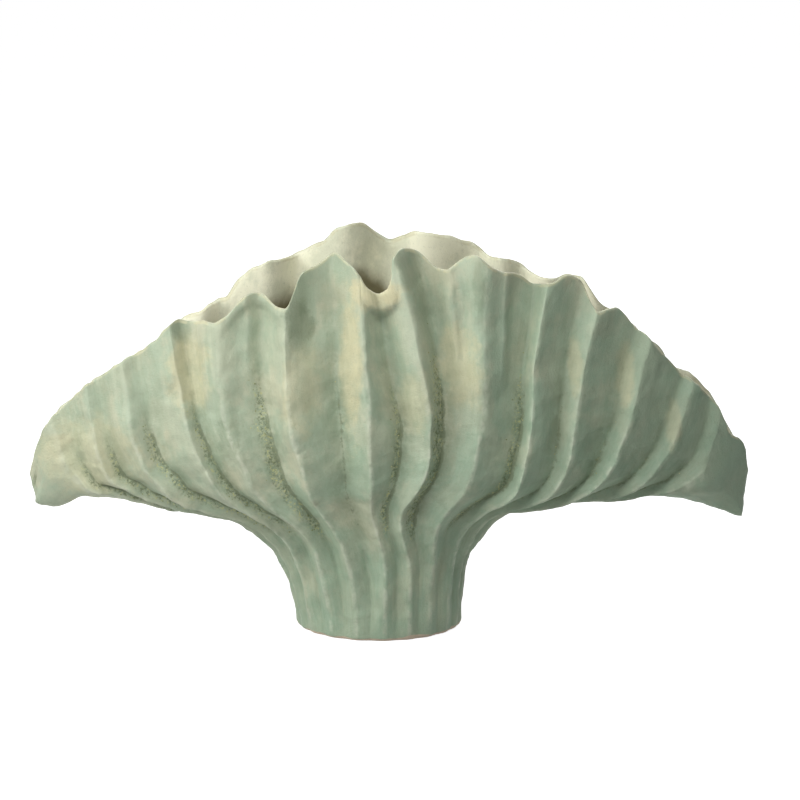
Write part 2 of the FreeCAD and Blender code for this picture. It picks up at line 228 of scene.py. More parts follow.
BACK_RIM_SHARES = (
    (-1.0, 0.39), (-0.91, 0.55), (-0.82, 0.605), (-0.77, 0.645), (-0.66, 0.7), (-0.6, 0.742),
    (-0.49, 0.803), (-0.45, 0.81), (-0.4, 0.875), (-0.31, 0.925), (-0.25, 0.921), (-0.17, 0.962),
    (-0.12, 1.008), (-0.06, 1.016), (0.024, 0.96), (0.12, 0.997), (0.16, 0.994), (0.25, 0.956),
    (0.3, 0.927), (0.35, 0.922), (0.385, 0.898), (0.44, 0.877), (0.55, 0.873), (0.62, 0.8),
    (0.67, 0.775), (0.75, 0.71), (0.79, 0.655), (0.84, 0.645), (0.92, 0.54), (1.0, 0.4),
)
# How much the glaze has crawled along the valley of each flute, from 0 to 1
FRONT_CRAWL = (0.68, 0.78, 0.85, 0.75, 1.0, 0.45, 0.8, 1.0, 0.9, 0.45, 0.5, 0.5, 0.55)
BACK_CRAWL = (0.5, 0.7, 0.8, 0.6, 0.9, 0.4, 0.6, 0.8, 0.5, 0.9, 0.6, 0.5)
CRAWL = (*FRONT_CRAWL, 0.0, *reversed(BACK_CRAWL), 0.0)
# How strongly each crest still stands out at the rim
FRONT_RIM_RELIEF = (0.45, 0.3, 0.35, 0.45, 0.8, 1.15, 1.3, 1.3, 1.15, 0.8, 0.8, 0.55, 0.45, 0.45)
BACK_RIM_RELIEF = (0.45, 0.5, 0.6, 0.8, 1.0, 1.1, 1.1, 1.1, 1.1, 0.9, 0.7, 0.5, 0.45)
RIM_RELIEF = (*FRONT_RIM_RELIEF, *reversed(BACK_RIM_RELIEF), FRONT_RIM_RELIEF[0])
FEATURES = (
    MinorCrest(4, 0.45, 0.0035, 0.2, 8.4),
    MinorCrest(7, 0.6, 0.006, 0.2, 8.3),
    MinorCrest(3, 0.6, 0.002, 0.15, 7.6),
    MinorCrest(8, 0.35, 0.003, 0.2, 8.2),
    RolledLip(6, 0.0085, 9.76, 9.88),
    RolledLip(4, 0.003, 9.84, 9.95),
    Dimple(5, 0.2, 9.55, 0.18, 0.45, 0.0065),
    Dimple(3, 0.14, 9.6, 0.16, 0.35, 0.0035),
    Dimple(6, 0.26, 8.2, 0.24, 1.9, -0.0028),
    Dimple(7, 0.72, 9.3, 0.14, 0.5, 0.003),
    Dimple(LEFT_NOSE, 0.5, 9.3, 0.5, 0.45, 0.0018),
    Dimple(RIGHT_NOSE, 0.5, 9.3, 0.5, 0.45, 0.0016),
    Dimple(LEFT_NOSE, 0.66, 9.55, 0.09, 0.12, 0.0028, 0.003),
)


@dataclass(frozen=True)
class FanForm:
    """The plain form of the vase and the crest lines on it, read for arrays of angles and levels."""

    left: Wing = Wing(0.0615, 0.219, 0.096,
                      (0.1, 0.28, 0.5, 0.66, 0.78, 0.9, 0.988, 1.0),
                      (0.325, 0.589, 0.68, 0.732, 0.738, 0.605, 0.675, 1.0))
    right: Wing = Wing(0.0555, 0.232, 0.098,
                       (0.07, 0.23, 0.455, 0.64, 0.765, 0.88, 0.978, 1.0),
                       (0.335, 0.69, 0.737, 0.737, 0.703, 0.58, 0.485, 1.0))
    rim_height: float = 0.243
    neck_height: float = 0.040
    slab_thickness: float = 0.009
    foot_radius: float = 0.052
    slab_radius: float = 0.0525
    neck_half_depth: float = 0.051
    belly_half_depth: float = 0.062
    mouth_half_depth: float = 0.048
    foot_wall: float = 0.007
    fan_wall: float = 0.006
    rim_wall: float = 0.0034
    centre_shares: Numbers = (0.1, 0.167, 0.232, 0.286, 0.37, 0.507, 0.709, 1.0)
    belly_shares: Numbers = (0.17, 0.33, 0.58, 0.83, 1.0, 1.0, 1.0, 1.0)
    closing_shares: Numbers = (0.0, 0.0, 0.0, 0.0, 0.0, 0.14, 0.5, 1.0)
    swing_shares: Numbers = (0.35, 0.75, 0.95, 1.0, 1.0, 1.0, 1.0, 1.0)
    bow_shares: Numbers = (0.0, 0.15, 0.5, 0.85, 1.0, 0.95, 0.6, 0.0)
    sway_shares: Numbers = (0.35, 0.8, 1.0, 0.8, 0.48, 0.1, -0.3, 0.0)
    arch_width_power: float = 1.6
    arch_height_power: float = 0.75
    lens_share: float = 0.22
    tip_round_power: float = 0.85
    crest_share: float = 0.185
    valley_share: float = 0.165
    inner_relief_share: float = 0.55
    rim_inner_relief_share: float = 0.78
    nose_crest_share: float = 0.25
    foot_relief_share: float = 0.4
    edge_relief_share: float = 0.5
    foot_softness: float = 0.5
    crest_softness: float = 0.09
    rim_softness: float = 0.34
    inner_softness: float = 0.6
    valley_round_share: float = 0.3
    rim_round_share: float = 0.75
    foot_edge: float = 0.003
    crawl_before: float = 0.011
    crawl_after: float = 0.002
    crawl_soft_share: float = 0.9
    least_crawl: float = 0.1
    pool_and_shade_start: float = 0.4
    least_pool_and_shade: float = 0.35
    crack_width: float = 0.0018
    nick_height: float = 0.00022
    nick_waves: Numbers = (41.0, 67.0, 96.0, 131.0)
    crawl_levels: tuple[float, float] = (2.6, 4.5)
    fading_level: float = 8.0
    crawl_end: float = 9.6
    normal_turn: float = 0.01
    normal_lift: float = 0.4

    def stations(self, below: Numbers, *spans: Array) -> list[float]:
        """Values at every station: those up to the neck, then spans beyond the neck."""
        return [*below, *(below[-1] + sum(spans))]

    def wing_values(self, wing: Wing) -> tuple[list[float], list[float]]:
        """A wing's distances from the middle and its end heights, at every station.

        Args:
            wing: the half of the fan to read.

        Returns:
            The distances and the heights, a value for each station.
        """
        widths = self.stations((self.foot_radius, self.slab_radius, wing.neck),
                               (wing.reach - wing.neck) * np.array(wing.width_shares))
        heights = self.stations((0.0, self.slab_thickness, self.neck_height),
                                (wing.tip_height - self.neck_height) * np.array(wing.end_shares))
        return widths, heights

    def loop_point(self, angle: Array, level: Array) -> Array:
        """Points of the plain form, before the flutes.

        Args:
            angle: radians round the loop.
            level: the loop of each point, an array of the same shape.

        Returns:
            An array of points, one more axis than the angles.
        """
        side, front = np.sin(angle), np.cos(angle)
        on_left = side < 0.0
        sides = [(wing, *(along(values, level) for values in self.wing_values(wing)))
                 for wing in (self.left, self.right)]
        (left, left_width, left_end), (right, right_width, right_end) = sides
        width = np.where(on_left, left_width, right_width)
        neck = np.where(on_left, left.neck, right.neck)
        reach = np.where(on_left, left.reach, right.reach)
        opened = ease((width - neck) / (reach - neck))
        lens = 1.0 - self.lens_share * opened * side * side
        front = np.sign(front) * np.abs(front) ** mix(1.0, self.tip_round_power, opened)
        arch = np.maximum(0.0, 1.0 - np.abs(side) ** self.arch_width_power) ** self.arch_height_power
        centres = self.stations((0.0, self.slab_thickness, self.neck_height),
                                (self.rim_height - self.neck_height) * np.array(self.centre_shares))
        height = mix(np.where(on_left, left_end, right_end), along(centres, level), arch)
        opening = (self.belly_half_depth - self.neck_half_depth) * np.array(self.belly_shares)
        closing = (self.mouth_half_depth - self.belly_half_depth) * np.array(self.closing_shares)
        depths = self.stations((self.foot_radius, self.slab_radius, self.neck_half_depth), opening, closing)
        return np.stack([width * side, -along(depths, level) * front * lens, height], axis=-1)

    def outward(self, angle: Array, level: Array) -> Array:
        """Unit normals of the plain form, pointing out of the vase, level all round the slab.

        Args:
            angle: radians round the loop.
            level: the loop of each place.

        Returns:
            An array of unit vectors, one more axis than the angles.
        """
        turn, lift = self.normal_turn, self.normal_lift
        across = self.loop_point(angle + turn, level) - self.loop_point(angle - turn, level)
        up = (self.loop_point(angle, np.minimum(RIM_LEVEL, level + lift))
              - self.loop_point(angle, np.maximum(0.0, level - lift)))
        normal = np.cross(across, up)
        normal /= np.linalg.norm(normal, axis=-1, keepdims=True)
        normal[..., 2] *= ease(level - SLAB_LEVEL)
        return normal / np.linalg.norm(normal, axis=-1, keepdims=True)

    def near_rim(self, level: Array) -> Array:
        """0 up to the joint between keel and tip, rising smoothly to 1 at the rim."""
        return rise(level, TIP_LEVEL, RIM_LEVEL)

    def wall_at(self, level: Array) -> Array:
        """Thickness of the clay at a level."""
        lower = mix(self.foot_wall, self.fan_wall, rise(level, SLAB_LEVEL, TIP_LEVEL))
        return np.where(level <= TIP_LEVEL, lower, mix(self.fan_wall, self.rim_wall, self.near_rim(level)))

    def crests(self) -> list[tuple[float, float, float, float]]:
        """Every crest in turn round the vase: angle on the foot, bow, angle on the rim and sway.

        Returns:
            A row for each crest, angles in radians, the front ones first.
        """
        front = [(math.radians(crest.foot), math.radians(crest.bow), math.asin(crest.rim_share),
                  math.radians(crest.sway)) for crest in FRONT_CRESTS]
        back = [(math.pi - math.radians(crest.foot), -math.radians(crest.bow),
                 math.pi - math.asin(crest.rim_share), 0.0) for crest in reversed(BACK_CRESTS)]
        return front + back

    def crest_angle(self, number: int, level: Array) -> Array:
        """Angle of a crest at each level. Crest numbers past the last go on round the vase.

        Args:
            number: the crest's number.
            level: the levels to read.

        Returns:
            Radians round the loop, one for each level.
        """
        laps, number = divmod(number, FLUTES)
        foot, bow, rim, sway = self.crests()[number]
        swing, aside, swayed = (along((0.0, 0.0, 0.0, *shares), level)
                                for shares in (self.swing_shares, self.bow_shares, self.sway_shares))
        return mix(foot, rim, swing) + bow * aside + sway * swayed + laps * 2.0 * math.pi

    def flute_width(self, flute: int, level: Array) -> Array:
        """Straight distance between the two crests of a flute."""
        ends = [self.loop_point(self.crest_angle(crest, level), level) for crest in (flute, flute + 1)]
        return np.linalg.norm(ends[1] - ends[0], axis=-1)

    def rim_rise(self, flute: int, share: Array) -> Array:
        """Rise of the wavy rim above the plain form, at shares of the way across a flute.

        Args:
            flute: the flute's number.
            share: shares from its left crest to its right one.

        Returns:
            Metres, one for each share.
        """
        level = np.full_like(share, RIM_LEVEL)
        angle = mix(self.crest_angle(flute, level), self.crest_angle(flute + 1, level), share)
        plain = self.loop_point(angle, level)
        side = plain[..., 0] / np.where(plain[..., 0] < 0.0, self.left.reach, self.right.reach)
        front, back = (smooth_curve(*zip(*outline), side) for outline in (FRONT_RIM_SHARES, BACK_RIM_SHARES))
        nicks = sum(self.nick_height * np.sin(angle * waves + waves) for waves in self.nick_waves)
        return np.where(np.cos(angle) > 0.0, front, back) * self.rim_height - plain[..., 2] + nicks

    def foot_inset(self, level: Array) -> Array:
        """How far the rounded bottom edge of the foot draws in."""
        below = np.clip(1.0 - level * self.slab_thickness / self.foot_edge, 0.0, 1.0)
        return self.foot_edge * (1.0 - np.sqrt(1.0 - below * below))

    def crawl_rise(self, level: Array) -> Array:
        """0 on the foot, rising to 1 where the glaze crawls fully."""
        return rise(level, *self.crawl_levels)

    def crawl_fade(self, level: Array, end: float) -> Array:
        """1 in the upper fan, falling to 0 at an end below or on the rim."""
        return rise(level, end, self.fading_level)

    def crawl(self, flute: int, past_valley: Array, level: Array) -> Array:
        """How much the glaze has crawled, from 0 to 1: in a band on the shaded side of each valley.

        Args:
            flute: the flute's number.
            past_valley: metres to the right of the valley.
            level: the level of each place.

        Returns:
            A value for each place.
        """
        before = self.crawl_before * max(CRAWL[flute], self.least_crawl) ** 2
        across = (ease((past_valley + before) / (self.crawl_soft_share * before))
                  * rise(past_valley, self.crawl_after, -self.crawl_after))
        return CRAWL[flute] * across * (self.crawl_rise(level) * self.crawl_fade(level, self.crawl_end))

    def valley_pool_and_shade(self, toward_valley: Array, level: Array) -> Array:
        """How thick the glaze has pooled beside a valley, from 0 to 1, which also paints the valley's shade.
        """
        deep = rise(toward_valley, self.pool_and_shade_start, 1.0)
        return deep * mix(self.least_pool_and_shade, 1.0, self.crawl_rise(level) * self.crawl_fade(level, RIM_LEVEL))

    def crack(self, flute: int, past_valley: Array, level: Array) -> Array:
        """How near a place is to the crack in the glaze at the bottom of a valley, from 0 to 1."""
        up = self.crawl_rise(level) * self.crawl_fade(level, self.crawl_end)
        return up * math.sqrt(CRAWL[flute]) * np.exp(-(past_valley / self.crack_width) ** 2)

    def valley(self, flute: int, level: Array) -> Array:
        """Where the valley of a flute lies at each level: in the middle on the foot, leaning above."""
        return mix(0.5, VALLEY_SHARES[flute], rise(level, NECK_LEVEL, TIP_LEVEL))


class Face(Enum):
    """Which face of the clay a sample lies on."""

    OUTER = 0.0
    INNER = 1.0


@dataclass
class Skin:
    """Samples of one face of the wall: a row for each level and a column for each place round the vase."""

    point: Array
    normal: Array
    values: dict[str, Array]

    def blended(self, other: "Skin", share: float, lift: float) -> "Skin":
        """A row between the last rows of two skins, lifted, which rounds the rim's edge.

        Args:
            other: the skin of the clay's other face.
            share: how far over the edge the row lies, from 0 to 1.
            lift: metres above the rim.

        Returns:
            A skin of one row.
        """
        point = mix(self.point[-1:], other.point[-1:], share)
        point = point + np.array((0.0, 0.0, lift))
        values = {name: mix(self.values[name][-1:], other.values[name][-1:], share) for name in self.values}
        return Skin(point, self.normal[-1:].copy(), values)

    @classmethod
    def joined(cls, skins: Sequence["Skin"], axis: int) -> "Skin":
        """Skins joined into one, by rows (0) or by columns (1).

        Args:
            skins: the skins in turn.
            axis: 0 to join them by rows, 1 by columns.

        Returns:
            One skin.
        """
        point, normal = (np.concatenate([getattr(skin, part) for skin in skins], axis)
                         for part in ("point", "normal"))
        values = {name: np.concatenate([skin.values[name] for skin in skins], axis)
                  for name in skins[0].values}
        return cls(point, normal, values)

    def thinned(self) -> "Skin":
        """Every second row and column of this skin."""
        return Skin(self.point[::2, ::2], self.normal[::2, ::2],
                    {name: value[::2, ::2] for name, value in self.values.items()})


@dataclass(frozen=True)
class Sampler:
    """Reads the form into skins, closer together beside a crest, where the clay is pinched sharp."""

    form: FanForm
    columns: int = 36
    crowding: float = 0.12

    def shares(self) -> Array:
        """Places across one flute, from its left crest up to its right one, which is left out."""
        even = np.arange(self.columns) / self.columns
        return even - self.crowding * np.sin(2.0 * math.pi * even)

    def skin(self, flutes: Sequence[int], levels: Array, face: Face, closed: bool) -> Skin:
        """Sample neighbouring flutes.

        Args:
            flutes: their numbers in turn.
            levels: the level of each row.
            face: the outer or the inner face of the clay.
            closed: True where the flutes go all the way round, so the last column meets the first.

        Returns:
            The skin, with the fluting's values that the geometry tree reads.
        """
        blocks = [self.flute_block(flute, self.shares(), levels, face) for flute in flutes]
        if not closed:
            blocks.append(self.flute_block(flutes[-1], np.array([1.0]), levels, face))
        return Skin.joined(blocks, 1)

    def flute_block(self, flute: int, shares: Array, levels: Array, face: Face) -> Skin:
        """Sample one flute at some shares of the way across it.

        Args:
            flute: the flute's number.
            shares: places from its left crest to its right one.
            levels: the level of each row.
            face: the outer or the inner face of the clay.

        Returns:
            The skin of those places, with its values.
        """
        form = self.form
        share, level = np.meshgrid(shares, levels)
        angle = mix(form.crest_angle(flute, level), form.crest_angle(flute + 1, level), share)
        normal = form.outward(angle, level)
        rim = form.near_rim(level)
        width = form.flute_width(flute, level)
        before = form.flute_width((flute - 1) % FLUTES, level)
        after = form.flute_width((flute + 1) % FLUTES, level)
        crest = form.crest_share * mix(np.minimum(before, width), np.minimum(width, after), share)
        depth = mix(1.0, mix(RIM_RELIEF[flute], RIM_RELIEF[flute + 1], share), rim)
        depth = depth * mix(form.foot_relief_share, 1.0, ease(level / (NECK_LEVEL + SLAB_LEVEL)))
        depth = depth * mix(form.edge_relief_share, 1.0, ease(level / NECK_LEVEL))
        softness = mix(form.foot_softness, form.crest_softness, ease(level / (2.0 * NECK_LEVEL)))
        softness = mix(softness, form.rim_softness, rim)
        round_share = mix(form.valley_round_share, form.rim_round_share, rim)
        if face is Face.INNER:
            depth = depth * mix(form.inner_relief_share, form.rim_inner_relief_share, rim)
            softness = np.full_like(rim, form.inner_softness)
            round_share = np.ones_like(rim)
        is_nose = flute in (LEFT_NOSE, RIGHT_NOSE)
        outside = 0.0 if is_nose else 1.0 - face.value
        edge = np.minimum(1.0, np.minimum(share, 1.0 - share) / form.nose_crest_share)
        valley = form.valley(flute, level)
        toward = np.where(share < valley, share / valley, (1.0 - share) / (1.0 - valley))
        if is_nose:
            toward, round_share = edge, np.ones_like(rim)
        extra = sum((feature.relief(share, level) for feature in FEATURES if feature.flute == flute),
                    np.zeros_like(share))
        out = extra - mix(form.foot_inset(level), form.wall_at(level), face.value)
        point = form.loop_point(angle, level) + normal * out[..., None]
        point[..., 2] += form.rim_rise(flute, share) * rim
        values = {
            "toward_valley": toward,
            "roundness": round_share,
            "crest_rise": depth * crest,
            "valley_fall": np.zeros_like(width) if is_nose else depth * form.valley_share * width,
            "softness": softness,
            "level": level,
            "inside": np.full_like(level, face.value),
            "crest_distance": np.minimum(share, 1.0 - share) * width,
            "crawl": form.crawl(flute, (share - valley) * width, level) * outside,
            "crack": form.crack(flute, (share - valley) * width, level) * outside,
            "valley_pool_and_shade": form.valley_pool_and_shade(toward, level) * outside,
            "round_x": RING_RADIUS * np.cos((flute + share) / RING_RADIUS),
            "round_y": RING_RADIUS * np.sin((flute + share) / RING_RADIUS),
        }
        return Skin(point, normal, values)


class Graph:
    """Places nodes in one shader or geometry tree and joins them."""

    def __init__(self, tree: NodeTree) -> None:
        """Keep the tree that the nodes go into."""
        self.tree = tree

    def node(self, kind: str, settings: dict | None = None, **inputs: object) -> Node:
        """Add a node.

        Args:
            kind: the node's type name.
            settings: properties of the node itself.
            inputs: a value or an output socket for each input, with _ for a space in its name.

        Returns:
            The new node.
        """
        node = self.tree.nodes.new(kind)
        for name, value in (settings or {}).items():
            setattr(node, name, value)
        for name, value in inputs.items():
            self.feed(node.inputs[name.replace("_", " ")], value)
        return node

    def feed(self, socket: NodeSocket, value: object) -> None:
        """Join an output socket to an input, or set the input's own value.

        Args:
            socket: the input.
            value: an output socket or a plain value.
        """
        if isinstance(value, NodeSocket):
            self.tree.links.new(value, socket)
        else:
            socket.default_value = value

    def stored(self, name: str, kind: str = "FLOAT") -> NodeSocket:
        """A named attribute of the mesh, in a geometry tree."""
        return self.node("GeometryNodeInputNamedAttribute", {"data_type": kind}, Name=name).outputs[0]

    def attribute(self, name: str) -> NodeSocket:
        """A named attribute of the mesh, in a shader tree."""
        return self.node("ShaderNodeAttribute", {"attribute_name": name}).outputs["Fac"]

    def place(self) -> NodeSocket:
        """Object coordinates, in a shader tree."""
        return self.node("ShaderNodeTexCoord").outputs["Object"]

    def parts(self, vector: NodeSocket) -> bpy_prop_collection:
        """The three parts of a vector."""
        return self.node("ShaderNodeSeparateXYZ", Vector=vector).outputs

    def math(self, operation: str, first: object, second: object = 0.0, clamp: bool = False) -> NodeSocket:
        """The result of a Math node.

        Args:
            operation: what the node does.
            first: a value or an output socket.
            second: the same for the second input.
            clamp: True to keep the result from 0 to 1.

        Returns:
            The result's socket.
        """
        node = self.node("ShaderNodeMath", {"operation": operation, "use_clamp": clamp})
        self.feed(node.inputs[0], first)
        self.feed(node.inputs[1], second)
        return node.outputs[0]

    def times(self, *factors: object) -> NodeSocket:
        """The product of some values."""
        return reduce(lambda first, second: self.math("MULTIPLY", first, second), factors)

    def plus(self, *terms: object) -> NodeSocket:
        """The sum of some values."""
        return reduce(lambda first, second: self.math("ADD", first, second), terms)

    def minus(self, first: object, second: object) -> NodeSocket:
        """One value less another."""
        return self.math("SUBTRACT", first, second)

    def over(self, first: object, second: object, clamp: bool = False) -> NodeSocket:
        """One value divided by another."""
        return self.math("DIVIDE", first, second, clamp)

    def vector(self, operation: str, first: object, second: object = None,
               scale: object = None) -> NodeSocket:
        """The vector result of a Vector Math node.

        Args:
            operation: what the node does.
            first: a vector or an output socket.
            second: the same for the second input, where it has one.
            scale: the factor, where the node scales.

        Returns:
            The result's socket.
        """
        node = self.node("ShaderNodeVectorMath", {"operation": operation})
        self.feed(node.inputs[0], first)
        if second is not None:
            self.feed(node.inputs[1], second)
        if scale is not None:
            self.feed(node.inputs["Scale"], scale)
        return node.outputs[0]

    def step(self, value: object, start: object, end: object, low: float = 0.0,
             high: float = 1.0) -> NodeSocket:
        """A smooth step of a value between two places.

        Args:
            value: the value to step.
            start: where the step starts.
            end: where it ends, on either side of the start.
            low: the result at the start and before it.
            high: the result at the end and past it.

        Returns:
            The result's socket.
        """
        node = self.node("ShaderNodeMapRange", {"interpolation_type": "SMOOTHSTEP"}, Value=value,
                         From_Min=start, From_Max=end, To_Min=low, To_Max=high)
        return node.outputs["Result"]

    def blend(self, factor: object, first: object, second: object) -> NodeSocket:
        """The result of mixing two colours.

        Args:
            factor: 0 for the first colour, 1 for the second.
            first: a colour or an output socket.
            second: the same.

        Returns:
            The mixed colour's socket.
        """
        node = self.node("ShaderNodeMix", {"data_type": "RGBA"})
        for number, value in ((0, factor), (6, first), (7, second)):
            self.feed(node.inputs[number], value)
        return node.outputs[2]

    def noise(self, vector: NodeSocket, scale: object, detail: float = 3.0,
              roughness: float = 0.5) -> NodeSocket:
        """The value of a noise texture."""
        return self.node("ShaderNodeTexNoise", Vector=vector, Scale=scale, Detail=detail,
                         Roughness=roughness).outputs[0]

    def wander(self, amount: float, vector: NodeSocket, *noise: float) -> NodeSocket:
        """A noise round 0, from minus half an amount to half of it."""
        return self.times(self.minus(self.noise(vector, *noise), 0.5), amount)


class GeometryTree:
    """A geometry tree with named inputs, which is run on an object and leaves a plain mesh."""

    NAME = ""
    SOCKETS: tuple[tuple[str, str, object], ...] = ()

    def __init__(self) -> None:
        """Build the tree."""
        self.tree = bpy.data.node_groups.new(self.NAME, "GeometryNodeTree")
        face = self.tree.interface
        face.new_socket("Geometry", in_out="INPUT", socket_type="NodeSocketGeometry")
        self.names = {}
        for name, kind, value in self.SOCKETS:
            socket = face.new_socket(name, in_out="INPUT", socket_type=kind)
            if value is not None:
                socket.default_value = value
            self.names[name] = socket.identifier
        face.new_socket("Geometry", in_out="OUTPUT", socket_type="NodeSocketGeometry")
        self.build(Graph(self.tree))

    def build(self, graph: Graph) -> None:
        """Place the nodes."""
        raise NotImplementedError

    def finish(self, graph: Graph, geometry: NodeSocket, material: NodeSocket) -> None:
        """End the tree: real geometry that wears a material.

        Args:
            graph: the tree's nodes.
            geometry: what the tree made.
            material: what it wears.
        """
        real = graph.node("GeometryNodeRealizeInstances", Geometry=geometry).outputs[0]
        dressed = graph.node("GeometryNodeSetMaterial", Geometry=real, Material=material).outputs[0]
        graph.node("NodeGroupOutput", Geometry=dressed)

    def run_on(self, blank: Object, name: str, **inputs: object) -> Mesh:
        """Run the tree on an object and take the object away.

        Args:
            blank: an object whose mesh holds the values that the tree reads, as attributes.
            name: the new mesh's name.
            inputs: values for the tree's named inputs.

        Returns:
            The evaluated result as a plain mesh.
        """
        modifier = blank.modifiers.new(self.NAME, "NODES")
        modifier.node_group = self.tree
        for socket, value in inputs.items():
            modifier[self.names[socket]] = value
        graph = bpy.context.evaluated_depsgraph_get()
        graph.update()
        mesh = bpy.data.meshes.new_from_object(blank.evaluated_get(graph))
        mesh.name = name
        blank.modifiers.remove(modifier)
        bpy.data.objects.remove(blank)
        return mesh


class FlutingTree(GeometryTree):
    """Turns a plain skin into pinched flutes with a maker's unevenness."""

    NAME = "fluting"
    SOCKETS = (
        ("Relief", "NodeSocketFloat", 1.0),
        ("Wobble", "NodeSocketFloat", 0.0032),
        ("Wobble Size", "NodeSocketFloat", 0.036),
        ("Pinch", "NodeSocketFloat", 0.0012),
        ("Pinch Size", "NodeSocketFloat", 0.013),
        ("Least Pinch", "NodeSocketFloat", 0.6),
        ("Tool Marks", "NodeSocketFloat", 0.00045),
        ("Tool Mark Size", "NodeSocketFloat", 0.005),
        ("Calm Height", "NodeSocketFloat", 0.012),
        ("Seed", "NodeSocketFloat", 7.0),
        ("Finish", "NodeSocketMaterial", None),
    )

    def build(self, graph: Graph) -> None:
        """Place the nodes: the ridge of each crest, then the wobble and the marks of fingers and tools.

        Args:
            graph: the tree's nodes.
        """
        given = graph.node("NodeGroupInput").outputs
        position = graph.node("GeometryNodeInputPosition").outputs[0]
        soft, toward = graph.stored("softness"), graph.stored("toward_valley")
        scoop = graph.math("SINE", graph.times(toward, math.pi / 2.0))
        wave = graph.plus(toward, graph.times(graph.stored("roundness"), graph.minus(scoop, toward)))
        squared = graph.times(soft, soft)
        rounded = graph.minus(graph.math("SQRT", graph.plus(graph.times(wave, wave), squared)), soft)
        low = graph.over(rounded, graph.minus(graph.math("SQRT", graph.plus(squared, 1.0)), soft))
        high = graph.minus(1.0, low)
        relief = graph.times(graph.minus(graph.times(high, graph.stored("crest_rise")),
                                         graph.times(low, graph.stored("valley_fall"))), given["Relief"])
        calm = graph.over(graph.parts(position)[2], given["Calm Height"], clamp=True)
        wobble, pinched, tooled = (self.unevenness(graph, position, given[size], given["Seed"])
                                   for size in ("Wobble Size", "Pinch Size", "Tool Mark Size"))
        aside = graph.vector("SCALE", wobble, scale=graph.times(given["Wobble"], calm))
        pinch = graph.times(graph.parts(pinched)[0], given["Pinch"], graph.plus(given["Least Pinch"], high))
        marks = graph.plus(pinch, graph.times(graph.parts(tooled)[1], given["Tool Marks"]))
        out = graph.vector("SCALE", graph.stored("skin_normal", "FLOAT_VECTOR"),
                           scale=graph.plus(relief, graph.times(marks, calm)))
        moved = graph.node("GeometryNodeSetPosition", Geometry=given["Geometry"],
                           Offset=graph.vector("ADD", out, aside)).outputs[0]
        self.finish(graph, moved, given["Finish"])

    def unevenness(self, graph: Graph, position: NodeSocket, size: NodeSocket,
                   seed: NodeSocket) -> NodeSocket:
        """A smooth vector noise from -1 to 1, of the given feature size.

        Args:
            graph: the tree's nodes.
            position: where to read the noise.
            size: the feature size in metres.
            seed: the noise's seed.

        Returns:
            The vector's socket.
        """
        noise = graph.node("ShaderNodeTexNoise", {"noise_dimensions": "4D"}, Vector=position, W=seed,
                           Scale=graph.over(1.0, size)).outputs[1]
        return graph.vector("SCALE", graph.vector("SUBTRACT", noise, (0.5, 0.5, 0.5)), scale=2.0)


class CrumbTree(GeometryTree):
    """Scatters crumbs of crawled glaze over the places where a mesh says that it crawled."""

    NAME = "glaze_crumbs"
    SOCKETS = (
        ("Density", "NodeSocketFloat", 420000.0),
        ("Crawl Power", "NodeSocketFloat", 1.5),
        ("Clump Size", "NodeSocketFloat", 0.006),
        ("Clump Start", "NodeSocketFloat", 0.46),
        ("Clump End", "NodeSocketFloat", 0.62),
        ("Least", "NodeSocketFloat", 0.00022),
        ("Most", "NodeSocketFloat", 0.0006),
        ("Flatness", "NodeSocketFloat", 0.55),
        ("Seed", "NodeSocketInt", 11),
        ("Finish", "NodeSocketMaterial", None),
    )

    def build(self, graph: Graph) -> None:
        """Place the nodes: points where the glaze crawled, then a small lump on each.

        Args:
            graph: the tree's nodes.
        """
        given = graph.node("NodeGroupInput").outputs
        position = graph.node("GeometryNodeInputPosition").outputs[0]
        clumped = graph.noise(position, graph.over(1.0, given["Clump Size"]), 2.0)
        clumps = graph.step(clumped, given["Clump Start"], given["Clump End"])
        crawl = graph.math("POWER", graph.stored("crawl"), given["Crawl Power"])
        density = graph.times(clumps, crawl, given["Density"])
        spread = graph.node("GeometryNodeDistributePointsOnFaces", {"distribute_method": "RANDOM"},
                            Mesh=given["Geometry"], Density=density, Seed=given["Seed"]).outputs
        lump = graph.node("GeometryNodeMeshIcoSphere", Radius=1.0, Subdivisions=1).outputs[0]
        size = graph.node("FunctionNodeRandomValue", {"data_type": "FLOAT"}, Seed=given["Seed"])
        graph.feed(size.inputs[2], given["Least"])
        graph.feed(size.inputs[3], given["Most"])
        wide = size.outputs[1]
        flat = graph.node("ShaderNodeCombineXYZ", X=wide, Y=wide,
                          Z=graph.times(wide, given["Flatness"])).outputs[0]
        lumps = graph.node("GeometryNodeInstanceOnPoints", Points=spread[0], Instance=lump,
                           Rotation=spread[2], Scale=flat).outputs[0]
        self.finish(graph, lumps, given["Finish"])


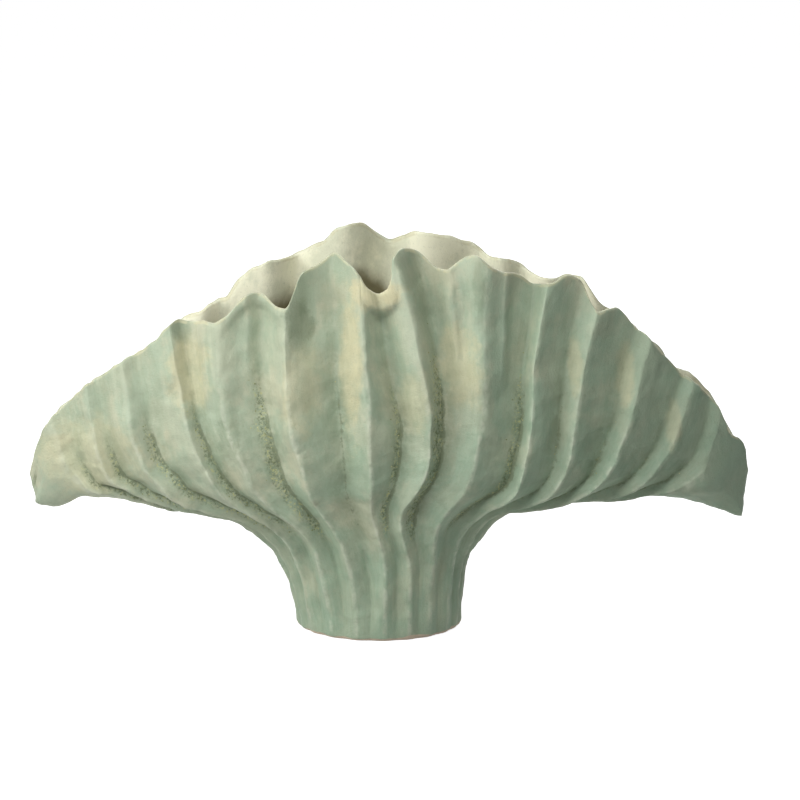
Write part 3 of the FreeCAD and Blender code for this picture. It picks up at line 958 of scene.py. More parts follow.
class ShellMesh:
    """Joins an outer and a thinned inner skin into one closed wall."""

    def __init__(self, outer: Skin, inner: Skin, lip_rows: int, closed: bool) -> None:
        """Keep the two skins, the number of rows that round the rim, and whether the wall is a ring.

        Args:
            outer: the outer skin.
            inner: the inner skin, thinned.
            lip_rows: the number of rows that round the rim, at the end of the outer skin.
            closed: True where the wall is a ring.
        """
        self.outer, self.inner = outer, inner
        self.lip_rows, self.closed = lip_rows, closed
        self.faces: list[tuple[int, ...]] = []
        self.joint_faces = 0

    def outer_id(self, row: int, column: int) -> int:
        """Vertex number on the outer skin."""
        return row * self.outer.point.shape[1] + column % self.outer.point.shape[1]

    def inner_id(self, row: int, column: int) -> int:
        """Vertex number on the inner skin."""
        columns = self.inner.point.shape[1]
        return self.outer.point.shape[0] * self.outer.point.shape[1] + row * columns + column % columns

    def quads(self, at: Callable[[int, int], int], rows: int, columns: int, outward: bool) -> None:
        """Add the quads of one skin, turned to face out of the clay.

        Args:
            at: gives the vertex number at a row and a column.
            rows: the number of rows of quads.
            columns: the number of quads in a row.
            outward: True on the outer skin.
        """
        for row in range(rows):
            for column in range(columns):
                quad = (at(row, column), at(row, column + 1), at(row + 1, column + 1), at(row + 1, column))
                self.faces.append(quad if outward else quad[::-1])

    def build(self) -> tuple[list[tuple[int, ...]], int]:
        """Add every face, the skins first and the joint faces last.

        Returns:
            The faces and the number of those that belong to the skins.
        """
        rows, columns = self.outer.point.shape[0] - 1, self.outer.point.shape[1] - (not self.closed)
        inner_rows, inner_columns = self.inner.point.shape[0] - 1, columns // 2
        self.quads(self.outer_id, rows, columns, True)
        self.quads(self.inner_id, inner_rows, inner_columns, False)
        if self.lip_rows:
            self.long_edge(rows, inner_rows, inner_columns, up=True)
        skin_faces = len(self.faces)
        self.long_edge(0, 0, inner_columns, up=False)
        if not self.lip_rows:
            self.long_edge(rows, inner_rows, inner_columns, up=True)
        if not self.closed:
            for column, inner_column, left in ((0, 0, True), (columns, inner_columns, False)):
                self.end_edge(column, inner_column, rows - self.lip_rows, left)
        return self.faces, skin_faces

    def long_edge(self, row: int, inner_row: int, inner_columns: int, up: bool) -> None:
        """Close the clay along a row, where two outer steps meet one inner step.

        Args:
            row: the outer skin's row.
            inner_row: the inner skin's row.
            inner_columns: the number of inner steps.
            up: True where the clay ends upwards.
        """
        for step in range(inner_columns):
            outer = [self.outer_id(row, 2 * step + place) for place in range(3)]
            face = (*outer, self.inner_id(inner_row, step + 1), self.inner_id(inner_row, step))
            self.faces.append(face if up else face[::-1])

    def end_edge(self, column: int, inner_column: int, rows: int, left: bool) -> None:
        """Close the clay along a crest line, with one face over the end of the rounded rim.

        Args:
            column: the outer skin's column.
            inner_column: the inner skin's column.
            rows: the number of outer rows below the rounded rim.
            left: True at the left end.
        """
        for step in range(rows // 2):
            outer = [self.outer_id(2 * step + place, column) for place in range(3)]
            face = (*outer, self.inner_id(step + 1, inner_column), self.inner_id(step, inner_column))
            self.faces.append(face if left else face[::-1])
        if self.lip_rows:
            face = (*(self.outer_id(rows + lip_row, column) for lip_row in range(self.lip_rows + 1)),
                    self.inner_id(rows // 2, inner_column))
            self.faces.append(face if left else face[::-1])


def linked(name: str, data: ID) -> Object:
    """A new object in the scene.

    Args:
        name: the object's name.
        data: its mesh, light or camera.

    Returns:
        The object.
    """
    thing = bpy.data.objects.new(name, data)
    bpy.context.scene.collection.objects.link(thing)
    return thing


def plain_object(name: str, points: Array, faces: list[tuple[int, ...]], normals: Array,
                 values: dict[str, Array]) -> Object:
    """An object, linked to the scene, whose mesh holds a skin's values as attributes.

    Args:
        name: the name of the object and its mesh.
        points: where the vertices are.
        faces: vertex numbers of each face.
        normals: the outward direction of the plain form at each vertex.
        values: a number for each vertex, by attribute name.

    Returns:
        The object.
    """
    mesh = bpy.data.meshes.new(name)
    mesh.from_pydata(points.reshape(-1, 3).tolist(), [], faces)
    mesh.attributes.new("skin_normal", "FLOAT_VECTOR", "POINT").data.foreach_set("vector", normals.ravel())
    for value_name, value in values.items():
        mesh.attributes.new(value_name, "FLOAT", "POINT").data.foreach_set("value", value.ravel())
    return linked(name, mesh)


@dataclass
class Shell:
    """A fluted piece of wall between two levels, over neighbouring flutes."""

    name: str
    node: str
    flutes: Sequence[int]
    levels: Array
    closed: bool = False
    lip_rows: int = 3
    lip_rise: float = 0.0016
    mesh: Mesh | None = None
    skin_faces: int = 0

    def has_rim(self) -> bool:
        """Whether the piece reaches the rim."""
        return bool(self.levels[-1] == RIM_LEVEL)

    def blank(self, sampler: Sampler) -> Object:
        """The piece as a plain closed wall, with the values that the fluting tree reads.

        Args:
            sampler: reads the form.

        Returns:
            An object to flute.
        """
        outer = sampler.skin(self.flutes, self.levels, Face.OUTER, self.closed)
        inner = sampler.skin(self.flutes, self.levels, Face.INNER, self.closed)
        rows = []
        for lip_row in range(self.lip_rows if self.has_rim() else 0):
            turn = math.pi * (lip_row + 1) / (self.lip_rows + 1)
            rows.append(outer.blended(inner, 0.5 - 0.5 * math.cos(turn), self.lip_rise * math.sin(turn)))
        outer, inner = Skin.joined([outer, *rows], 0), inner.thinned()
        faces, self.skin_faces = ShellMesh(outer, inner, len(rows), self.closed).build()
        points, normals = (np.concatenate([getattr(skin, part).reshape(-1, 3) for skin in (outer, inner)])
                           for part in ("point", "normal"))
        values = {name: np.concatenate([outer.values[name].ravel(), inner.values[name].ravel()])
                  for name in outer.values}
        return plain_object(self.name + "_blank", points, faces, normals, values)

    def shape(self, sampler: Sampler, fluting: FlutingTree, finish: Material) -> None:
        """Make the fluted mesh and keep it."""
        self.mesh = fluting.run_on(self.blank(sampler), self.name, Finish=finish)


@dataclass
class BaseSlab:
    """The disc that closes the foot, cut to the inside of the foot's ring."""

    name: str = "base_slab_clay"
    node: str = "base_slab"
    rows: int = 8

    def piece(self, sampler: Sampler, fluting: FlutingTree, finish: Material) -> Object:
        """Make the disc.

        Args:
            sampler: reads the form.
            fluting: the tree that shapes the ring's inner face, which the disc's edge follows.
            finish: the material that the disc wears.

        Returns:
            The disc, linked to the scene.
        """
        levels = np.linspace(0.0, SLAB_LEVEL, self.rows)
        skin = sampler.skin(range(FLUTES), levels, Face.INNER, True).thinned()
        rows, columns = skin.point.shape[:2]
        faces = []
        for row in range(rows - 1):
            for column in range(columns):
                here, after = row * columns + column, row * columns + (column + 1) % columns
                faces.append((here, after, after + columns, here + columns))
        faces.append(tuple(range(columns))[::-1])
        faces.append(tuple(range((rows - 1) * columns, rows * columns)))
        blank = plain_object(self.name + "_blank", skin.point, faces, skin.normal, skin.values)
        return linked(self.name, fluting.run_on(blank, self.name, Finish=finish))


def even_out(shells: Sequence[Shell]) -> None:
    """Give the skins one set of normals, so that the luted joints between pieces don't show.

    Args:
        shells: pieces whose skins run on into each other.
    """
    points, sums = [], []
    for mesh, skin_faces in ((shell.mesh, shell.skin_faces) for shell in shells):
        place = np.empty(len(mesh.vertices) * 3)
        mesh.vertices.foreach_get("co", place)
        total = np.zeros((len(mesh.vertices), 3))
        for polygon in mesh.polygons[:skin_faces]:
            total[list(polygon.vertices)] += np.array(polygon.normal) * polygon.area
        points.append(place.reshape(-1, 3))
        sums.append(total)
    grid = np.round(np.concatenate(points) / SAME_PLACE).astype(np.int64)
    group = np.unique(grid, axis=0, return_inverse=True)[1].ravel()
    together = np.zeros((group.max() + 1, 3))
    np.add.at(together, group, np.concatenate(sums))
    length = np.linalg.norm(together, axis=1, keepdims=True)
    together = together / np.where(length == 0.0, 1.0, length)
    start = 0
    for mesh, skin_faces in ((shell.mesh, shell.skin_faces) for shell in shells):
        mine = together[group[start:start + len(mesh.vertices)]]
        start += len(mesh.vertices)
        corners = np.empty(len(mesh.loops), int)
        mesh.loops.foreach_get("vertex_index", corners)
        normals = mine[corners]
        for polygon in mesh.polygons[skin_faces:]:
            normals[polygon.loop_start:polygon.loop_start + polygon.loop_total] = polygon.normal
        mesh.polygons.foreach_set("use_smooth", np.ones(len(mesh.polygons), bool))
        mesh.normals_split_custom_set(normals.tolist())
        log.info("%s: %d faces", mesh.name, len(mesh.polygons))


def srgb(red: int, green: int, blue: int) -> tuple[float, float, float, float]:
    """A screen colour, 0 to 255, as linear light.

    Args:
        red: red on the screen.
        green: green.
        blue: blue.

    Returns:
        Red, green, blue and an alpha of 1.
    """
    def linear(value: float) -> float:
        """One channel as linear light."""
        return value / 12.92 if value <= 0.04045 else ((value + 0.055) / 1.055) ** 2.4
    return (*(linear(channel / 255.0) for channel in (red, green, blue)), 1.0)


class ShaderGroup:
    """A named shader node group with its own inputs and outputs, used by more than one material."""

    def __init__(self, name: str, inputs: dict[str, str], outputs: dict[str, str]) -> None:
        """Make the empty group.

        Args:
            name: the group's name.
            inputs: the socket kind of each input, Float, Vector or Color.
            outputs: the same for each output.
        """
        self.tree = bpy.data.node_groups.new(name, "ShaderNodeTree")
        for names, way in ((inputs, "INPUT"), (outputs, "OUTPUT")):
            for socket, kind in names.items():
                self.tree.interface.new_socket(socket, in_out=way, socket_type="NodeSocket" + kind)
        self.graph = Graph(self.tree)
        self.given = self.graph.node("NodeGroupInput").outputs

    def give(self, **results: NodeSocket) -> None:
        """Join the results to the group's outputs."""
        self.graph.node("NodeGroupOutput", **results)

    def use(self, graph: Graph, **inputs: object) -> bpy_prop_collection:
        """Place the group in a material.

        Args:
            graph: the material's nodes.
            inputs: a value or an output socket for each input of the group.

        Returns:
            The group node's outputs.
        """
        return graph.node("ShaderNodeGroup", {"node_tree": self.tree}, **inputs).outputs


@dataclass(frozen=True)
class Patch:
    """A large soft patch on the front in another colour, and how strongly it shows. Some are the glaze's own
    colour, some painted light or shade.
    """

    x: float
    z: float
    half_width: float
    half_height: float
    strength: float


# Cream glaze in patches; the patch over the notch's rolled lip and the three narrow ones on the right half
# are partly painted light, where the lip and the strips left of the crests face the lights
CREAM_AND_LIT_PATCHES = tuple(Patch(*row) for row in (
    (-0.117, 0.168, 0.012, 0.023, 0.75), (-0.0175, 0.178, 0.0065, 0.042, 0.85),
    (0.05, 0.172, 0.013, 0.026, 0.7), (-0.001, 0.221, 0.017, 0.01, 1.0),
    (0.022, 0.155, 0.011, 0.018, 0.45), (-0.178, 0.112, 0.034, 0.026, 0.55),
    (-0.048, 0.165, 0.012, 0.03, 0.45), (0.121, 0.175, 0.0045, 0.02, 0.5),
    (0.152, 0.167, 0.006, 0.02, 0.5), (0.183, 0.135, 0.005, 0.016, 0.45),
))
# Patches of painted shade on the front, in hollows under the rim and under the rolled lip
SHADE_PATCHES = tuple(Patch(*row) for row in (
    (-0.0495, 0.201, 0.009, 0.015, 0.75), (-0.122, 0.199, 0.008, 0.009, 0.6),
    (0.019, 0.236, 0.008, 0.013, 0.55), (0.03, 0.214, 0.01, 0.012, 0.4),
    (-0.092, 0.133, 0.007, 0.016, 0.45), (0.062, 0.225, 0.004, 0.015, 0.4),
))


@dataclass(frozen=True)
class Glazes:
    """Node groups that the vase's materials share."""

    mottle: ShaderGroup
    grain: ShaderGroup
    # Noises: scale, detail and roughness. Cool and warm glaze lie in clouds and along the flutes.
    COOL_CLOUDS = (38.0, 6.0, 0.68)
    COOL_STREAKS = (2.1, 6.0, 0.7)
    WARM_CLOUDS = (24.0, 6.0, 0.66)
    WARM_STREAKS = (1.3, 5.0, 0.65)
    HAZE = (75.0, 6.0, 0.75)
    BRUSHED = (8.0, 5.0, 0.7)
    GRAIN = (950.0, 3.0, 0.65)
    COARSE_GRAIN = (240.0, 3.0, 0.6)
    SPECKS = (620.0, 2.0, 0.6)
    # Steps of the noises: start and end
    COOL_STEPS = (0.88, 1.12)
    WARM_STEPS = (1.0, 1.22)
    HAZE_STEPS = (0.42, 0.64)
    BRUSHED_STEPS = (0.36, 0.64)
    SPECK_STEPS = (0.6, 0.72)
    WARM_SHIFT = (5.3, 1.7, 8.1)
    HAZE_SHIFT = (0.4, 0.9, 0.2)
    BRUSH_STRETCH = (1.0, 1.0, 0.45)

    @classmethod
    def build(cls) -> "Glazes":
        """Build the groups.

        Returns:
            The groups: cloudy mottling that runs along the flutes, and the grain of a dry surface.
        """
        mottle = ShaderGroup("glaze_mottle", {"Place": "Vector", "Streaks": "Vector"},
                             {"Cool": "Float", "Warm": "Float", "Haze": "Float", "Brushed": "Float"})
        graph, place, streaks = mottle.graph, mottle.given["Place"], mottle.given["Streaks"]
        cool = graph.plus(graph.noise(place, *cls.COOL_CLOUDS), graph.noise(streaks, *cls.COOL_STREAKS))
        warm = graph.plus(graph.noise(place, *cls.WARM_CLOUDS),
                          graph.noise(graph.vector("ADD", streaks, cls.WARM_SHIFT), *cls.WARM_STREAKS))
        haze = graph.noise(graph.vector("ADD", place, cls.HAZE_SHIFT), *cls.HAZE)
        brushed = graph.noise(graph.vector("MULTIPLY", streaks, cls.BRUSH_STRETCH), *cls.BRUSHED)
        mottle.give(Cool=graph.step(cool, *cls.COOL_STEPS), Warm=graph.step(warm, *cls.WARM_STEPS),
                    Haze=graph.step(haze, *cls.HAZE_STEPS), Brushed=graph.step(brushed, *cls.BRUSHED_STEPS))
        grain = ShaderGroup("dry_grain", {"Place": "Vector", "Coarse": "Float"},
                            {"Height": "Float", "Speck": "Float"})
        graph, place = grain.graph, grain.given["Place"]
        coarse = graph.times(graph.noise(place, *cls.COARSE_GRAIN), grain.given["Coarse"])
        grain.give(Height=graph.plus(graph.noise(place, *cls.GRAIN), coarse),
                   Speck=graph.step(graph.noise(place, *cls.SPECKS), *cls.SPECK_STEPS))
        return cls(mottle, grain)


class Coats:
    """Colours laid over each other in a material."""

    def __init__(self, graph: Graph, colour: object) -> None:
        """Start with one colour all over."""
        self.graph, self.colour = graph, colour

    def lay(self, colour: object, *strengths: object) -> None:
        """Lay a colour over those before it, as strongly as the product of some values from 0 to 1."""
        self.colour = self.graph.blend(self.graph.times(*strengths), self.colour, colour)


@dataclass(frozen=True)
class Finish:
    """The look of one surface."""

    def material(self, glazes: Glazes) -> Material:
        """Build the material.

        Args:
            glazes: the shared node groups.

        Returns:
            The material.
        """
        raise NotImplementedError

    def start(self, name: str, roughness: float) -> tuple[Material, Graph, Node]:
        """A new material with its graph and its shader.

        Args:
            name: the material's name.
            roughness: how matt it is all over.

        Returns:
            The material, the graph that places its nodes, and the shader's node.
        """
        material = bpy.data.materials.new(name)
        material.use_nodes = True
        shader = material.node_tree.nodes["Principled BSDF"]
        shader.inputs["Roughness"].default_value = roughness
        return material, Graph(material.node_tree), shader

    def roughen(self, graph: Graph, shader: Node, height: NodeSocket, strength: float, depth: float) -> None:
        """Give the shader a bumpy surface."""
        bump = graph.node("ShaderNodeBump", Strength=strength, Distance=depth, Height=height)
        graph.feed(shader.inputs["Normal"], bump.outputs[0])


@dataclass(frozen=True)
class MattGlaze(Finish):
    """The matt sage glaze: mottled with cream and blue-green, pale on crests with a painted highlight, darker
    beside the valleys with painted shade, and crawled in valleys.
    """

    name: str = "matt_sage_glaze"
    body: Numbers = srgb(178, 186, 160)
    cool: Numbers = srgb(150, 172, 147)
    warm: Numbers = srgb(192, 191, 163)
    cream: Numbers = srgb(202, 196, 158)
    haze: Numbers = srgb(156, 164, 140)
    # Pooled glaze, also painted shade in the valleys and in hollows of the front
    pool_and_shade: Numbers = srgb(116, 130, 104)
    speck: Numbers = srgb(106, 116, 84)
    crumb: Numbers = srgb(180, 182, 130)
    crack: Numbers = srgb(104, 114, 86)
    sage: Numbers = srgb(138, 163, 138)
    # Pale glaze where it runs thin, also the painted highlight along the crests
    thin_glaze_and_highlight: Numbers = srgb(204, 209, 188)
    inner: Numbers = srgb(242, 241, 214)
    # Painted shade for the dark deep inside of the vase
    deep: Numbers = srgb(124, 118, 88)
    clay: Numbers = srgb(196, 180, 158)
    clay_line: float = 0.0022
    clay_line_wander: float = 0.006
    streak_pitch: float = 0.4
    roughness: float = 0.62
    bump_strength: float = 0.55
    bump_depth: float = 0.0006
    crawl_bump: float = 1.6
    # Noises: scale, detail and roughness
    patch_noise: Numbers = (60.0, 6.0, 0.7)
    pool_and_shade_noise: Numbers = (58.0, 5.0, 0.65)
    ragged_noise: Numbers = (130.0, 4.0, 0.7)
    fine_noise: Numbers = (520.0, 3.0, 0.7)
    crack_noise: Numbers = (210.0, 4.0, 0.7)
    broken_noise: Numbers = (105.0, 4.0, 0.65)
    deep_shade_noise: Numbers = (45.0, 4.0)
    edge_noise: Numbers = (55.0, 3.0)
    # Steps from the upper left to the lower right, which paint the lower right darker and greener, partly as
    # shade: start and end in metres, then the strength at each
    cool_steps: Numbers = (-0.3, 0.0, 0.5, 0.9)
    sage_steps: Numbers = (-0.22, 0.06, 0.0, 0.75)
    warm_steps: Numbers = (-0.2, 0.06, 0.8, 0.25)
    # Steps of other values: start and end, then the strength at each where it isn't 0 and 1
    pool_and_shade_steps: Numbers = (0.38, 0.58, 0.2, 1.0)
    crawled_steps: Numbers = (0.3, 0.65)
    crack_steps: Numbers = (0.45, 0.85)
    cracked_steps: Numbers = (0.08, 0.3)
    broken_steps: Numbers = (0.4, 0.6)
    thin_crest_and_highlight_edge: Numbers = (0.0022, 0.0006)
    thin_crest_and_highlight_levels: Numbers = (9.6, 8.0, 0.1, 0.42)
    deep_shade_levels: Numbers = (9.82, 9.6)
    lip_levels: Numbers = (9.98, 9.998, 0.0, 0.5)
    patch_edge: Numbers = (1.3, 0.6)
    # Specks and crumbs each show where the crawl, the fine noise and the ragged noise pass their own steps
    speck_steps: tuple[Numbers, ...] = ((0.12, 0.7), (0.5, 0.6), (0.4, 0.6))
    crumb_steps: tuple[Numbers, ...] = ((0.1, 0.6), (0.46, 0.36), (0.58, 0.45))
    patch_wander: float = 2.2
    crack_wander: float = 1.6
    deep_shade_wander: float = 0.3
    haze_share: float = 0.3
    brushed_share: float = 0.13
    bare_share: float = 0.08
    pool_and_shade_share: float = 0.62
    crawled_share: float = 0.6
    cracked_share: float = 0.7
    inner_body_share: float = 0.4
    speck_share: float = 0.14

    def patches(self, graph: Graph, place: NodeSocket, listed: Sequence[Patch]) -> NodeSocket:
        """How strongly large patches of the front show, from 0 to 1.

        Args:
            graph: the material's nodes.
            place: object coordinates.
            listed: the patches.

        Returns:
            The strength's socket.
        """
        x, y, z = graph.parts(place)
        ragged = graph.wander(self.patch_wander, place, *self.patch_noise)
        total = 0.0
        for patch in listed:
            across = graph.over(graph.minus(x, patch.x), patch.half_width)
            up = graph.over(graph.minus(z, patch.z), patch.half_height)
            away = graph.math("SQRT", graph.plus(graph.times(across, across), graph.times(up, up)))
            shown = graph.step(graph.plus(away, ragged), *self.patch_edge, 0.0, patch.strength)
            total = graph.math("MAXIMUM", total, shown)
        return graph.times(total, graph.math("LESS_THAN", y, 0.0))

    def material(self, glazes: Glazes) -> Material:
        """Build the material, from the glaze's body to the specks in it.

        Args:
            glazes: the shared node groups.

        Returns:
            The material.
        """
        material, graph, shader = self.start(self.name, self.roughness)
        place = graph.place()
        x, _, z = graph.parts(place)
        crawl, inside, level, distance = (
            graph.attribute(name) for name in ("crawl", "inside", "level", "crest_distance"))
        crack, valley_pool_and_shade, round_x, round_y = (
            graph.attribute(name) for name in ("crack", "valley_pool_and_shade", "round_x", "round_y"))
        streaks = graph.node("ShaderNodeCombineXYZ", X=round_x, Y=round_y,
                             Z=graph.times(level, self.streak_pitch)).outputs[0]
        mottle = glazes.mottle.use(graph, Place=place, Streaks=streaks)
        grain = glazes.grain.use(graph, Place=place, Coarse=0.6)
        # Mottling, greener and darker towards the lower right: partly the glaze's colour, partly painted
        # shade on the side away from the lights
        toward_shaded_lower_right = graph.minus(x, z)
        coats = Coats(graph, self.body)
        coats.lay(self.cool, mottle["Cool"], graph.step(toward_shaded_lower_right, *self.cool_steps))
        coats.lay(self.sage, graph.step(toward_shaded_lower_right, *self.sage_steps))
        coats.lay(self.warm, mottle["Warm"], graph.step(toward_shaded_lower_right, *self.warm_steps))
        # Cream glaze, with painted light on the notch's lip and on lit strips of the right half
        coats.lay(self.cream, self.patches(graph, place, CREAM_AND_LIT_PATCHES))
        # Painted shade in hollows of the front and under the rolled lip
        coats.lay(self.pool_and_shade, self.patches(graph, place, SHADE_PATCHES))
        coats.lay(self.haze, mottle["Haze"], self.haze_share)
        coats.lay(self.pool_and_shade, mottle["Brushed"], self.brushed_share)
        coats.lay(self.thin_glaze_and_highlight, graph.minus(1.0, mottle["Brushed"]), self.bare_share)
        # Glaze that pooled beside the valleys, partly painted shade there, and glaze that crawled in them
        patchy = graph.step(graph.noise(place, *self.pool_and_shade_noise), *self.pool_and_shade_steps)
        coats.lay(self.pool_and_shade, valley_pool_and_shade, patchy, self.pool_and_shade_share)
        ragged, fine = graph.noise(place, *self.ragged_noise), graph.noise(place, *self.fine_noise)
        coats.lay(self.pool_and_shade, crawl, graph.step(ragged, *self.crawled_steps), self.crawled_share)
        for colour, steps in ((self.speck, self.speck_steps), (self.crumb, self.crumb_steps)):
            strengths = [graph.step(value, *step) for value, step in zip((crawl, fine, ragged), steps)]
            coats.lay(colour, *strengths)
        torn = graph.plus(crack, graph.wander(self.crack_wander, place, *self.crack_noise))
        coats.lay(self.crack, graph.step(torn, *self.crack_steps), graph.step(crack, *self.cracked_steps),
                  self.cracked_share)
        # Thin glaze on the crests with a painted highlight along them, less near the rim
        broken = graph.step(graph.noise(place, *self.broken_noise), *self.broken_steps)
        coats.lay(self.thin_glaze_and_highlight, graph.step(distance, *self.thin_crest_and_highlight_edge), broken,
                  graph.step(level, *self.thin_crest_and_highlight_levels))
        # The inside, with painted shade deep down in it, the lip and the foot's unglazed edge
        within = Coats(graph, self.inner)
        within.lay(self.body, mottle["Cool"], self.inner_body_share)
        # Painted shade deep inside, below the rim, with a ragged edge
        ragged_shade_level = graph.plus(level, graph.times(graph.noise(place, *self.deep_shade_noise), self.deep_shade_wander))
        within.lay(self.deep, graph.step(ragged_shade_level, *self.deep_shade_levels))
        coats.lay(within.colour, inside)
        coats.lay(self.cream, graph.step(level, *self.lip_levels), broken)
        edge = graph.plus(self.clay_line, graph.wander(self.clay_line_wander, place, *self.edge_noise))
        coats.lay(self.clay, graph.math("LESS_THAN", z, edge))
        coats.lay(self.speck, grain["Speck"], self.speck_share)
        graph.feed(shader.inputs["Base Color"], coats.colour)
        height = graph.plus(grain["Height"], graph.times(fine, crawl, self.crawl_bump))
        self.roughen(graph, shader, height, self.bump_strength, self.bump_depth)
        return material


@dataclass(frozen=True)
class BareClay(Finish):
    """Unglazed pinkish-beige stoneware under the foot, glazed over where it closes the inside."""

    name: str = "bare_stoneware"
    clay: Numbers = srgb(200, 182, 158)
    iron: Numbers = srgb(140, 112, 86)
    inner: Numbers = srgb(242, 241, 214)
    top_from: float = 0.0085
    roughness: float = 0.9
    bump_strength: float = 0.5
    bump_depth: float = 0.0004

    def material(self, glazes: Glazes) -> Material:
        """Build the material: specked clay, and glaze on its top.

        Args:
            glazes: the shared node groups.

        Returns:
            The material.
        """
        material, graph, shader = self.start(self.name, self.roughness)
        place = graph.place()
        grain = glazes.grain.use(graph, Place=place, Coarse=1.0)
        coats = Coats(graph, self.clay)
        coats.lay(self.iron, grain["Speck"], 0.5)
        coats.lay(self.inner, graph.math("GREATER_THAN", graph.parts(place)[2], self.top_from))
        graph.feed(shader.inputs["Base Color"], coats.colour)
        self.roughen(graph, shader, grain["Height"], self.bump_strength, self.bump_depth)
        return material


@dataclass(frozen=True)
class CrumbGlaze(Finish):
    """Small lumps of glaze that crawled together, from olive to pale yellow-green."""

    name: str = "crawled_glaze"
    olive: Numbers = srgb(124, 133, 94)
    pale: Numbers = srgb(196, 194, 142)
    roughness: float = 0.55
    streak_scale: float = 90.0

    def material(self, glazes: Glazes) -> Material:
        """Build the material: two colours, mixed by the glaze's own mottling.

        Args:
            glazes: the shared node groups.

        Returns:
            The material.
        """
        material, graph, shader = self.start(self.name, self.roughness)
        place = graph.place()
        streaks = graph.vector("SCALE", place, scale=self.streak_scale)
        mottle = glazes.mottle.use(graph, Place=place, Streaks=streaks)
        graph.feed(shader.inputs["Base Color"], graph.blend(mottle["Haze"], self.olive, self.pale))
        return material


@dataclass(frozen=True)
class Viewpoint:
    """Where the photograph was taken from: how high, how far, and how wide a view at that distance."""

    elevation: float = math.radians(12.0)
    distance: float = 3.0
    view_width: float = 0.5016
    aim: tuple[float, float, float] = (0.0132, 0.0046, 0.1418)
    sensor: float = 36.0

    def camera(self) -> None:
        """Make the scene's camera."""
        data = bpy.data.cameras.new("camera")
        data.sensor_width = self.sensor
        data.lens = self.sensor * self.distance / self.view_width
        camera = linked("camera", data)
        back = Vector((0.0, -math.cos(self.elevation), math.sin(self.elevation)))
        camera.location = Vector(self.aim) + back * self.distance
        camera.rotation_euler = (math.pi / 2.0 - self.elevation, 0.0, 0.0)
        bpy.context.scene.camera = camera


@dataclass(frozen=True)
class Softbox:
    """One square studio light that faces the vase."""

    name: str
    place: tuple[float, float, float]
    size: float
    power: float
    aim: tuple[float, float, float] = (0.0, 0.0, 0.13)

    def light(self) -> None:
        """Hang the light."""
        data = bpy.data.lights.new(self.name, "AREA")
        data.shape, data.size, data.energy = "SQUARE", self.size, self.power
        turned = (Vector(self.aim) - Vector(self.place)).to_track_quat("-Z", "Y").to_matrix().to_4x4()
        linked(self.name, data).matrix_world = Matrix.Translation(self.place) @ turned


@dataclass(frozen=True)
class Studio:
    """A plain pale floor, a white surround and soft light from the upper left."""

    floor_half: float = 4.0
    floor_white: float = 0.6
    floor_glow: float = 0.92
    ambient: float = 0.13
    lights: tuple[Softbox, ...] = (
        Softbox("key_light", (-0.64, -0.3, 0.5), 0.3, 3.1),
        Softbox("near_light", (-0.34, -0.48, 0.44), 0.3, 1.05),
        Softbox("top_light", (0.02, -0.4, 0.7), 0.25, 2.0, (0.0, 0.04, 0.21)),
        Softbox("back_light", (0.5, 1.3, 0.9), 0.7, 9.0),
    )

    def build(self) -> None:
        """Lay the floor, light the vase and set the surround."""
        half = self.floor_half
        mesh = bpy.data.meshes.new("floor")
        corners = [(-half, -half, 0.0), (half, -half, 0.0), (half, half, 0.0), (-half, half, 0.0)]
        mesh.from_pydata(corners, [], [(0, 1, 2, 3)])
        mesh.materials.append(self.floor_paint())
        floor = linked("floor", mesh)
        for softbox in self.lights:
            softbox.light()
        self.surround()

    def seen(self, graph: Graph) -> NodeSocket:
        """1 on a ray from the camera, by mirror or through glass as well.

        Args:
            graph: the nodes of a material or of the world.

        Returns:
            The value's socket.
        """
        path = graph.node("ShaderNodeLightPath").outputs
        return graph.math("MAXIMUM", path["Is Camera Ray"], graph.math(
            "MAXIMUM", path["Is Glossy Ray"], path["Is Transmission Ray"]))

    def floor_paint(self) -> Material:
        """White floor paint that shows as white and still holds the shadow.

        Returns:
            The material.
        """
        material = bpy.data.materials.new("floor_paint")
        material.use_nodes = True
        tree = material.node_tree
        tree.nodes.clear()
        graph = Graph(tree)
        white = (self.floor_white, self.floor_white, self.floor_white, 1.0)
        matt = graph.node("ShaderNodeBsdfDiffuse", Color=white).outputs[0]
        glow = graph.node("ShaderNodeEmission",
                          Strength=graph.times(self.seen(graph), self.floor_glow)).outputs[0]
        both = graph.node("ShaderNodeAddShader")
        graph.feed(both.inputs[0], matt)
        graph.feed(both.inputs[1], glow)
        graph.node("ShaderNodeOutputMaterial", Surface=both.outputs[0])
        return material

    def surround(self) -> None:
        """White to the camera, softer as light."""
        world = bpy.data.worlds.new("studio")
        world.use_nodes = True
        bpy.context.scene.world = world
        graph = Graph(world.node_tree)
        background = world.node_tree.nodes["Background"]
        background.inputs["Color"].default_value = (1.0, 1.0, 1.0, 1.0)
        graph.feed(background.inputs["Strength"],
                   graph.plus(graph.times(self.seen(graph), 1.0 - self.ambient), self.ambient))


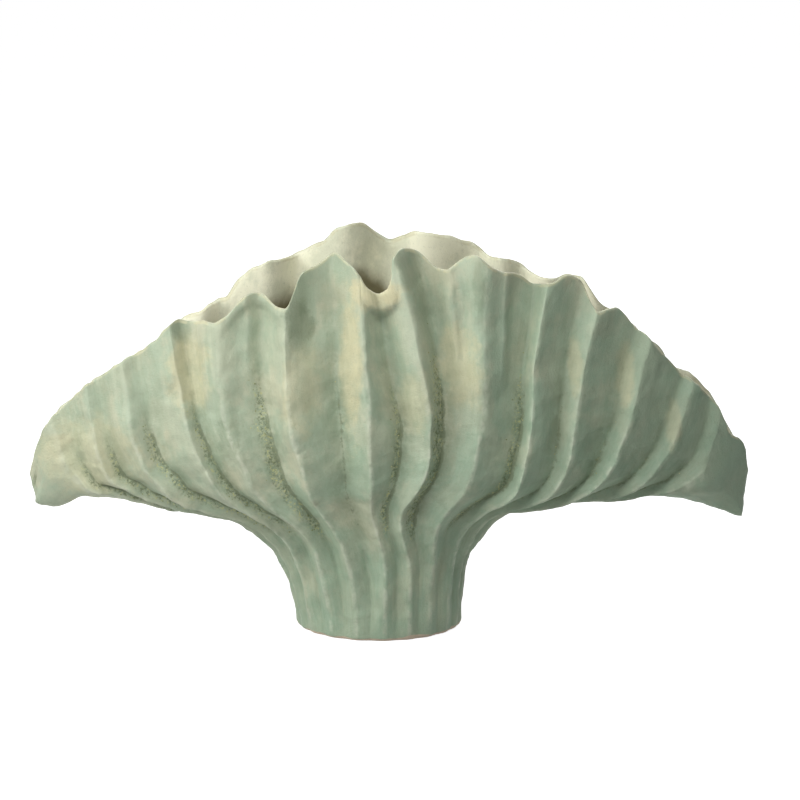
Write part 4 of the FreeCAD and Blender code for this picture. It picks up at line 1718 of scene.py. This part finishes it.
@dataclass
class FanVase:
    """The whole vase: eight pieces of clay, fluted as one and glazed."""

    sampler: Sampler = field(default_factory=lambda: Sampler(FanForm()))
    # Rows for each level of the foot's rounded edge, the slab, the rest of the foot, and the fan's two parts
    edge_rows: int = 20
    slab_rows: int = 10
    foot_rows: int = 18
    lower_rows: int = 14
    upper_rows: int = 28
    edge_level: float = 0.4
    crumb_seed: int = 11

    def levels(self, *bands: tuple[float, float, int]) -> Array:
        """Even rows over each band of levels, given as start, end and rows for each level.

        Args:
            bands: start, end and rows for each level.

        Returns:
            The level of each row.
        """
        rows = [np.linspace(start, end, int(round((end - start) * count)), endpoint=False)
                for start, end, count in bands]
        return np.concatenate([*rows, [bands[-1][1]]])

    def shells(self) -> list[Shell]:
        """The pieces of wall.

        Returns:
            The foot's ring, the two walls, the keels and the tips.
        """
        foot = self.levels((0.0, self.edge_level, self.edge_rows),
                           (self.edge_level, SLAB_LEVEL, self.slab_rows),
                           (SLAB_LEVEL, NECK_LEVEL, self.foot_rows))
        lower = (NECK_LEVEL, TIP_LEVEL, self.lower_rows)
        upper = (TIP_LEVEL, RIM_LEVEL, self.upper_rows)
        wall, keel, tip = self.levels(lower, upper), self.levels(lower), self.levels(upper)
        front, back = range(0, RIGHT_NOSE), range(RIGHT_NOSE + 1, LEFT_NOSE)
        return [
            Shell("foot_wall_clay", "foot_wall", range(FLUTES), foot, closed=True),
            Shell("front_fan_wall_clay", "front_fan_wall", front, wall),
            Shell("back_fan_wall_clay", "back_fan_wall", back, wall),
            Shell("left_keel_clay", "left_keel", [LEFT_NOSE], keel),
            Shell("right_keel_clay", "right_keel", [RIGHT_NOSE], keel),
            Shell("left_tip_clay", "left_tip", [LEFT_NOSE], tip),
            Shell("right_tip_clay", "right_tip", [RIGHT_NOSE], tip),
        ]

    def build(self) -> None:
        """Make, glaze and place every piece."""
        glazes = Glazes.build()
        glaze = MattGlaze().material(glazes)
        fluting = FlutingTree()
        shells = self.shells()
        for shell in shells:
            shell.shape(self.sampler, fluting, glaze)
        slab = BaseSlab()
        disc = slab.piece(self.sampler, fluting, BareClay().material(glazes))
        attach(disc, "root")
        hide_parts(slab.node)
        self.crumbs(shells, CrumbGlaze().material(glazes))
        even_out(shells)
        for shell in shells:
            piece = linked(shell.name, shell.mesh)
            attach(piece, "root")
            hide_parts(shell.node)
            log.info("%s stands for %s", shell.name, shell.node)

    def crumbs(self, shells: Sequence[Shell], finish: Material) -> None:
        """Scatter the crumbs of crawled glaze over every piece, as one mesh.

        Args:
            shells: the pieces of wall.
            finish: what the crumbs wear.
        """
        tree = CrumbTree()
        points, faces = [], []
        for number, shell in enumerate(shells):
            blank = linked("crumb_blank", shell.mesh.copy())
            mesh = tree.run_on(blank, "crumb_part", Seed=self.crumb_seed + number, Finish=finish)
            start = len(points)
            points += [tuple(vertex.co) for vertex in mesh.vertices]
            faces += [tuple(start + vertex for vertex in polygon.vertices) for polygon in mesh.polygons]
        mesh = bpy.data.meshes.new("glaze_crumbs")
        mesh.from_pydata(points, [], faces)
        mesh.materials.append(finish)
        piece = linked("glaze_crumbs", mesh)
        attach(piece, "root")
        log.info("%d faces of crumbs", len(faces))


def main() -> None:
    """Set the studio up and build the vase."""
    logging.basicConfig(level=logging.INFO, format="%(message)s")
    bpy.context.scene.view_settings.view_transform = "Standard"
    Viewpoint().camera()
    Studio().build()
    FanVase().build()


if __name__ == "__main__":
    main()
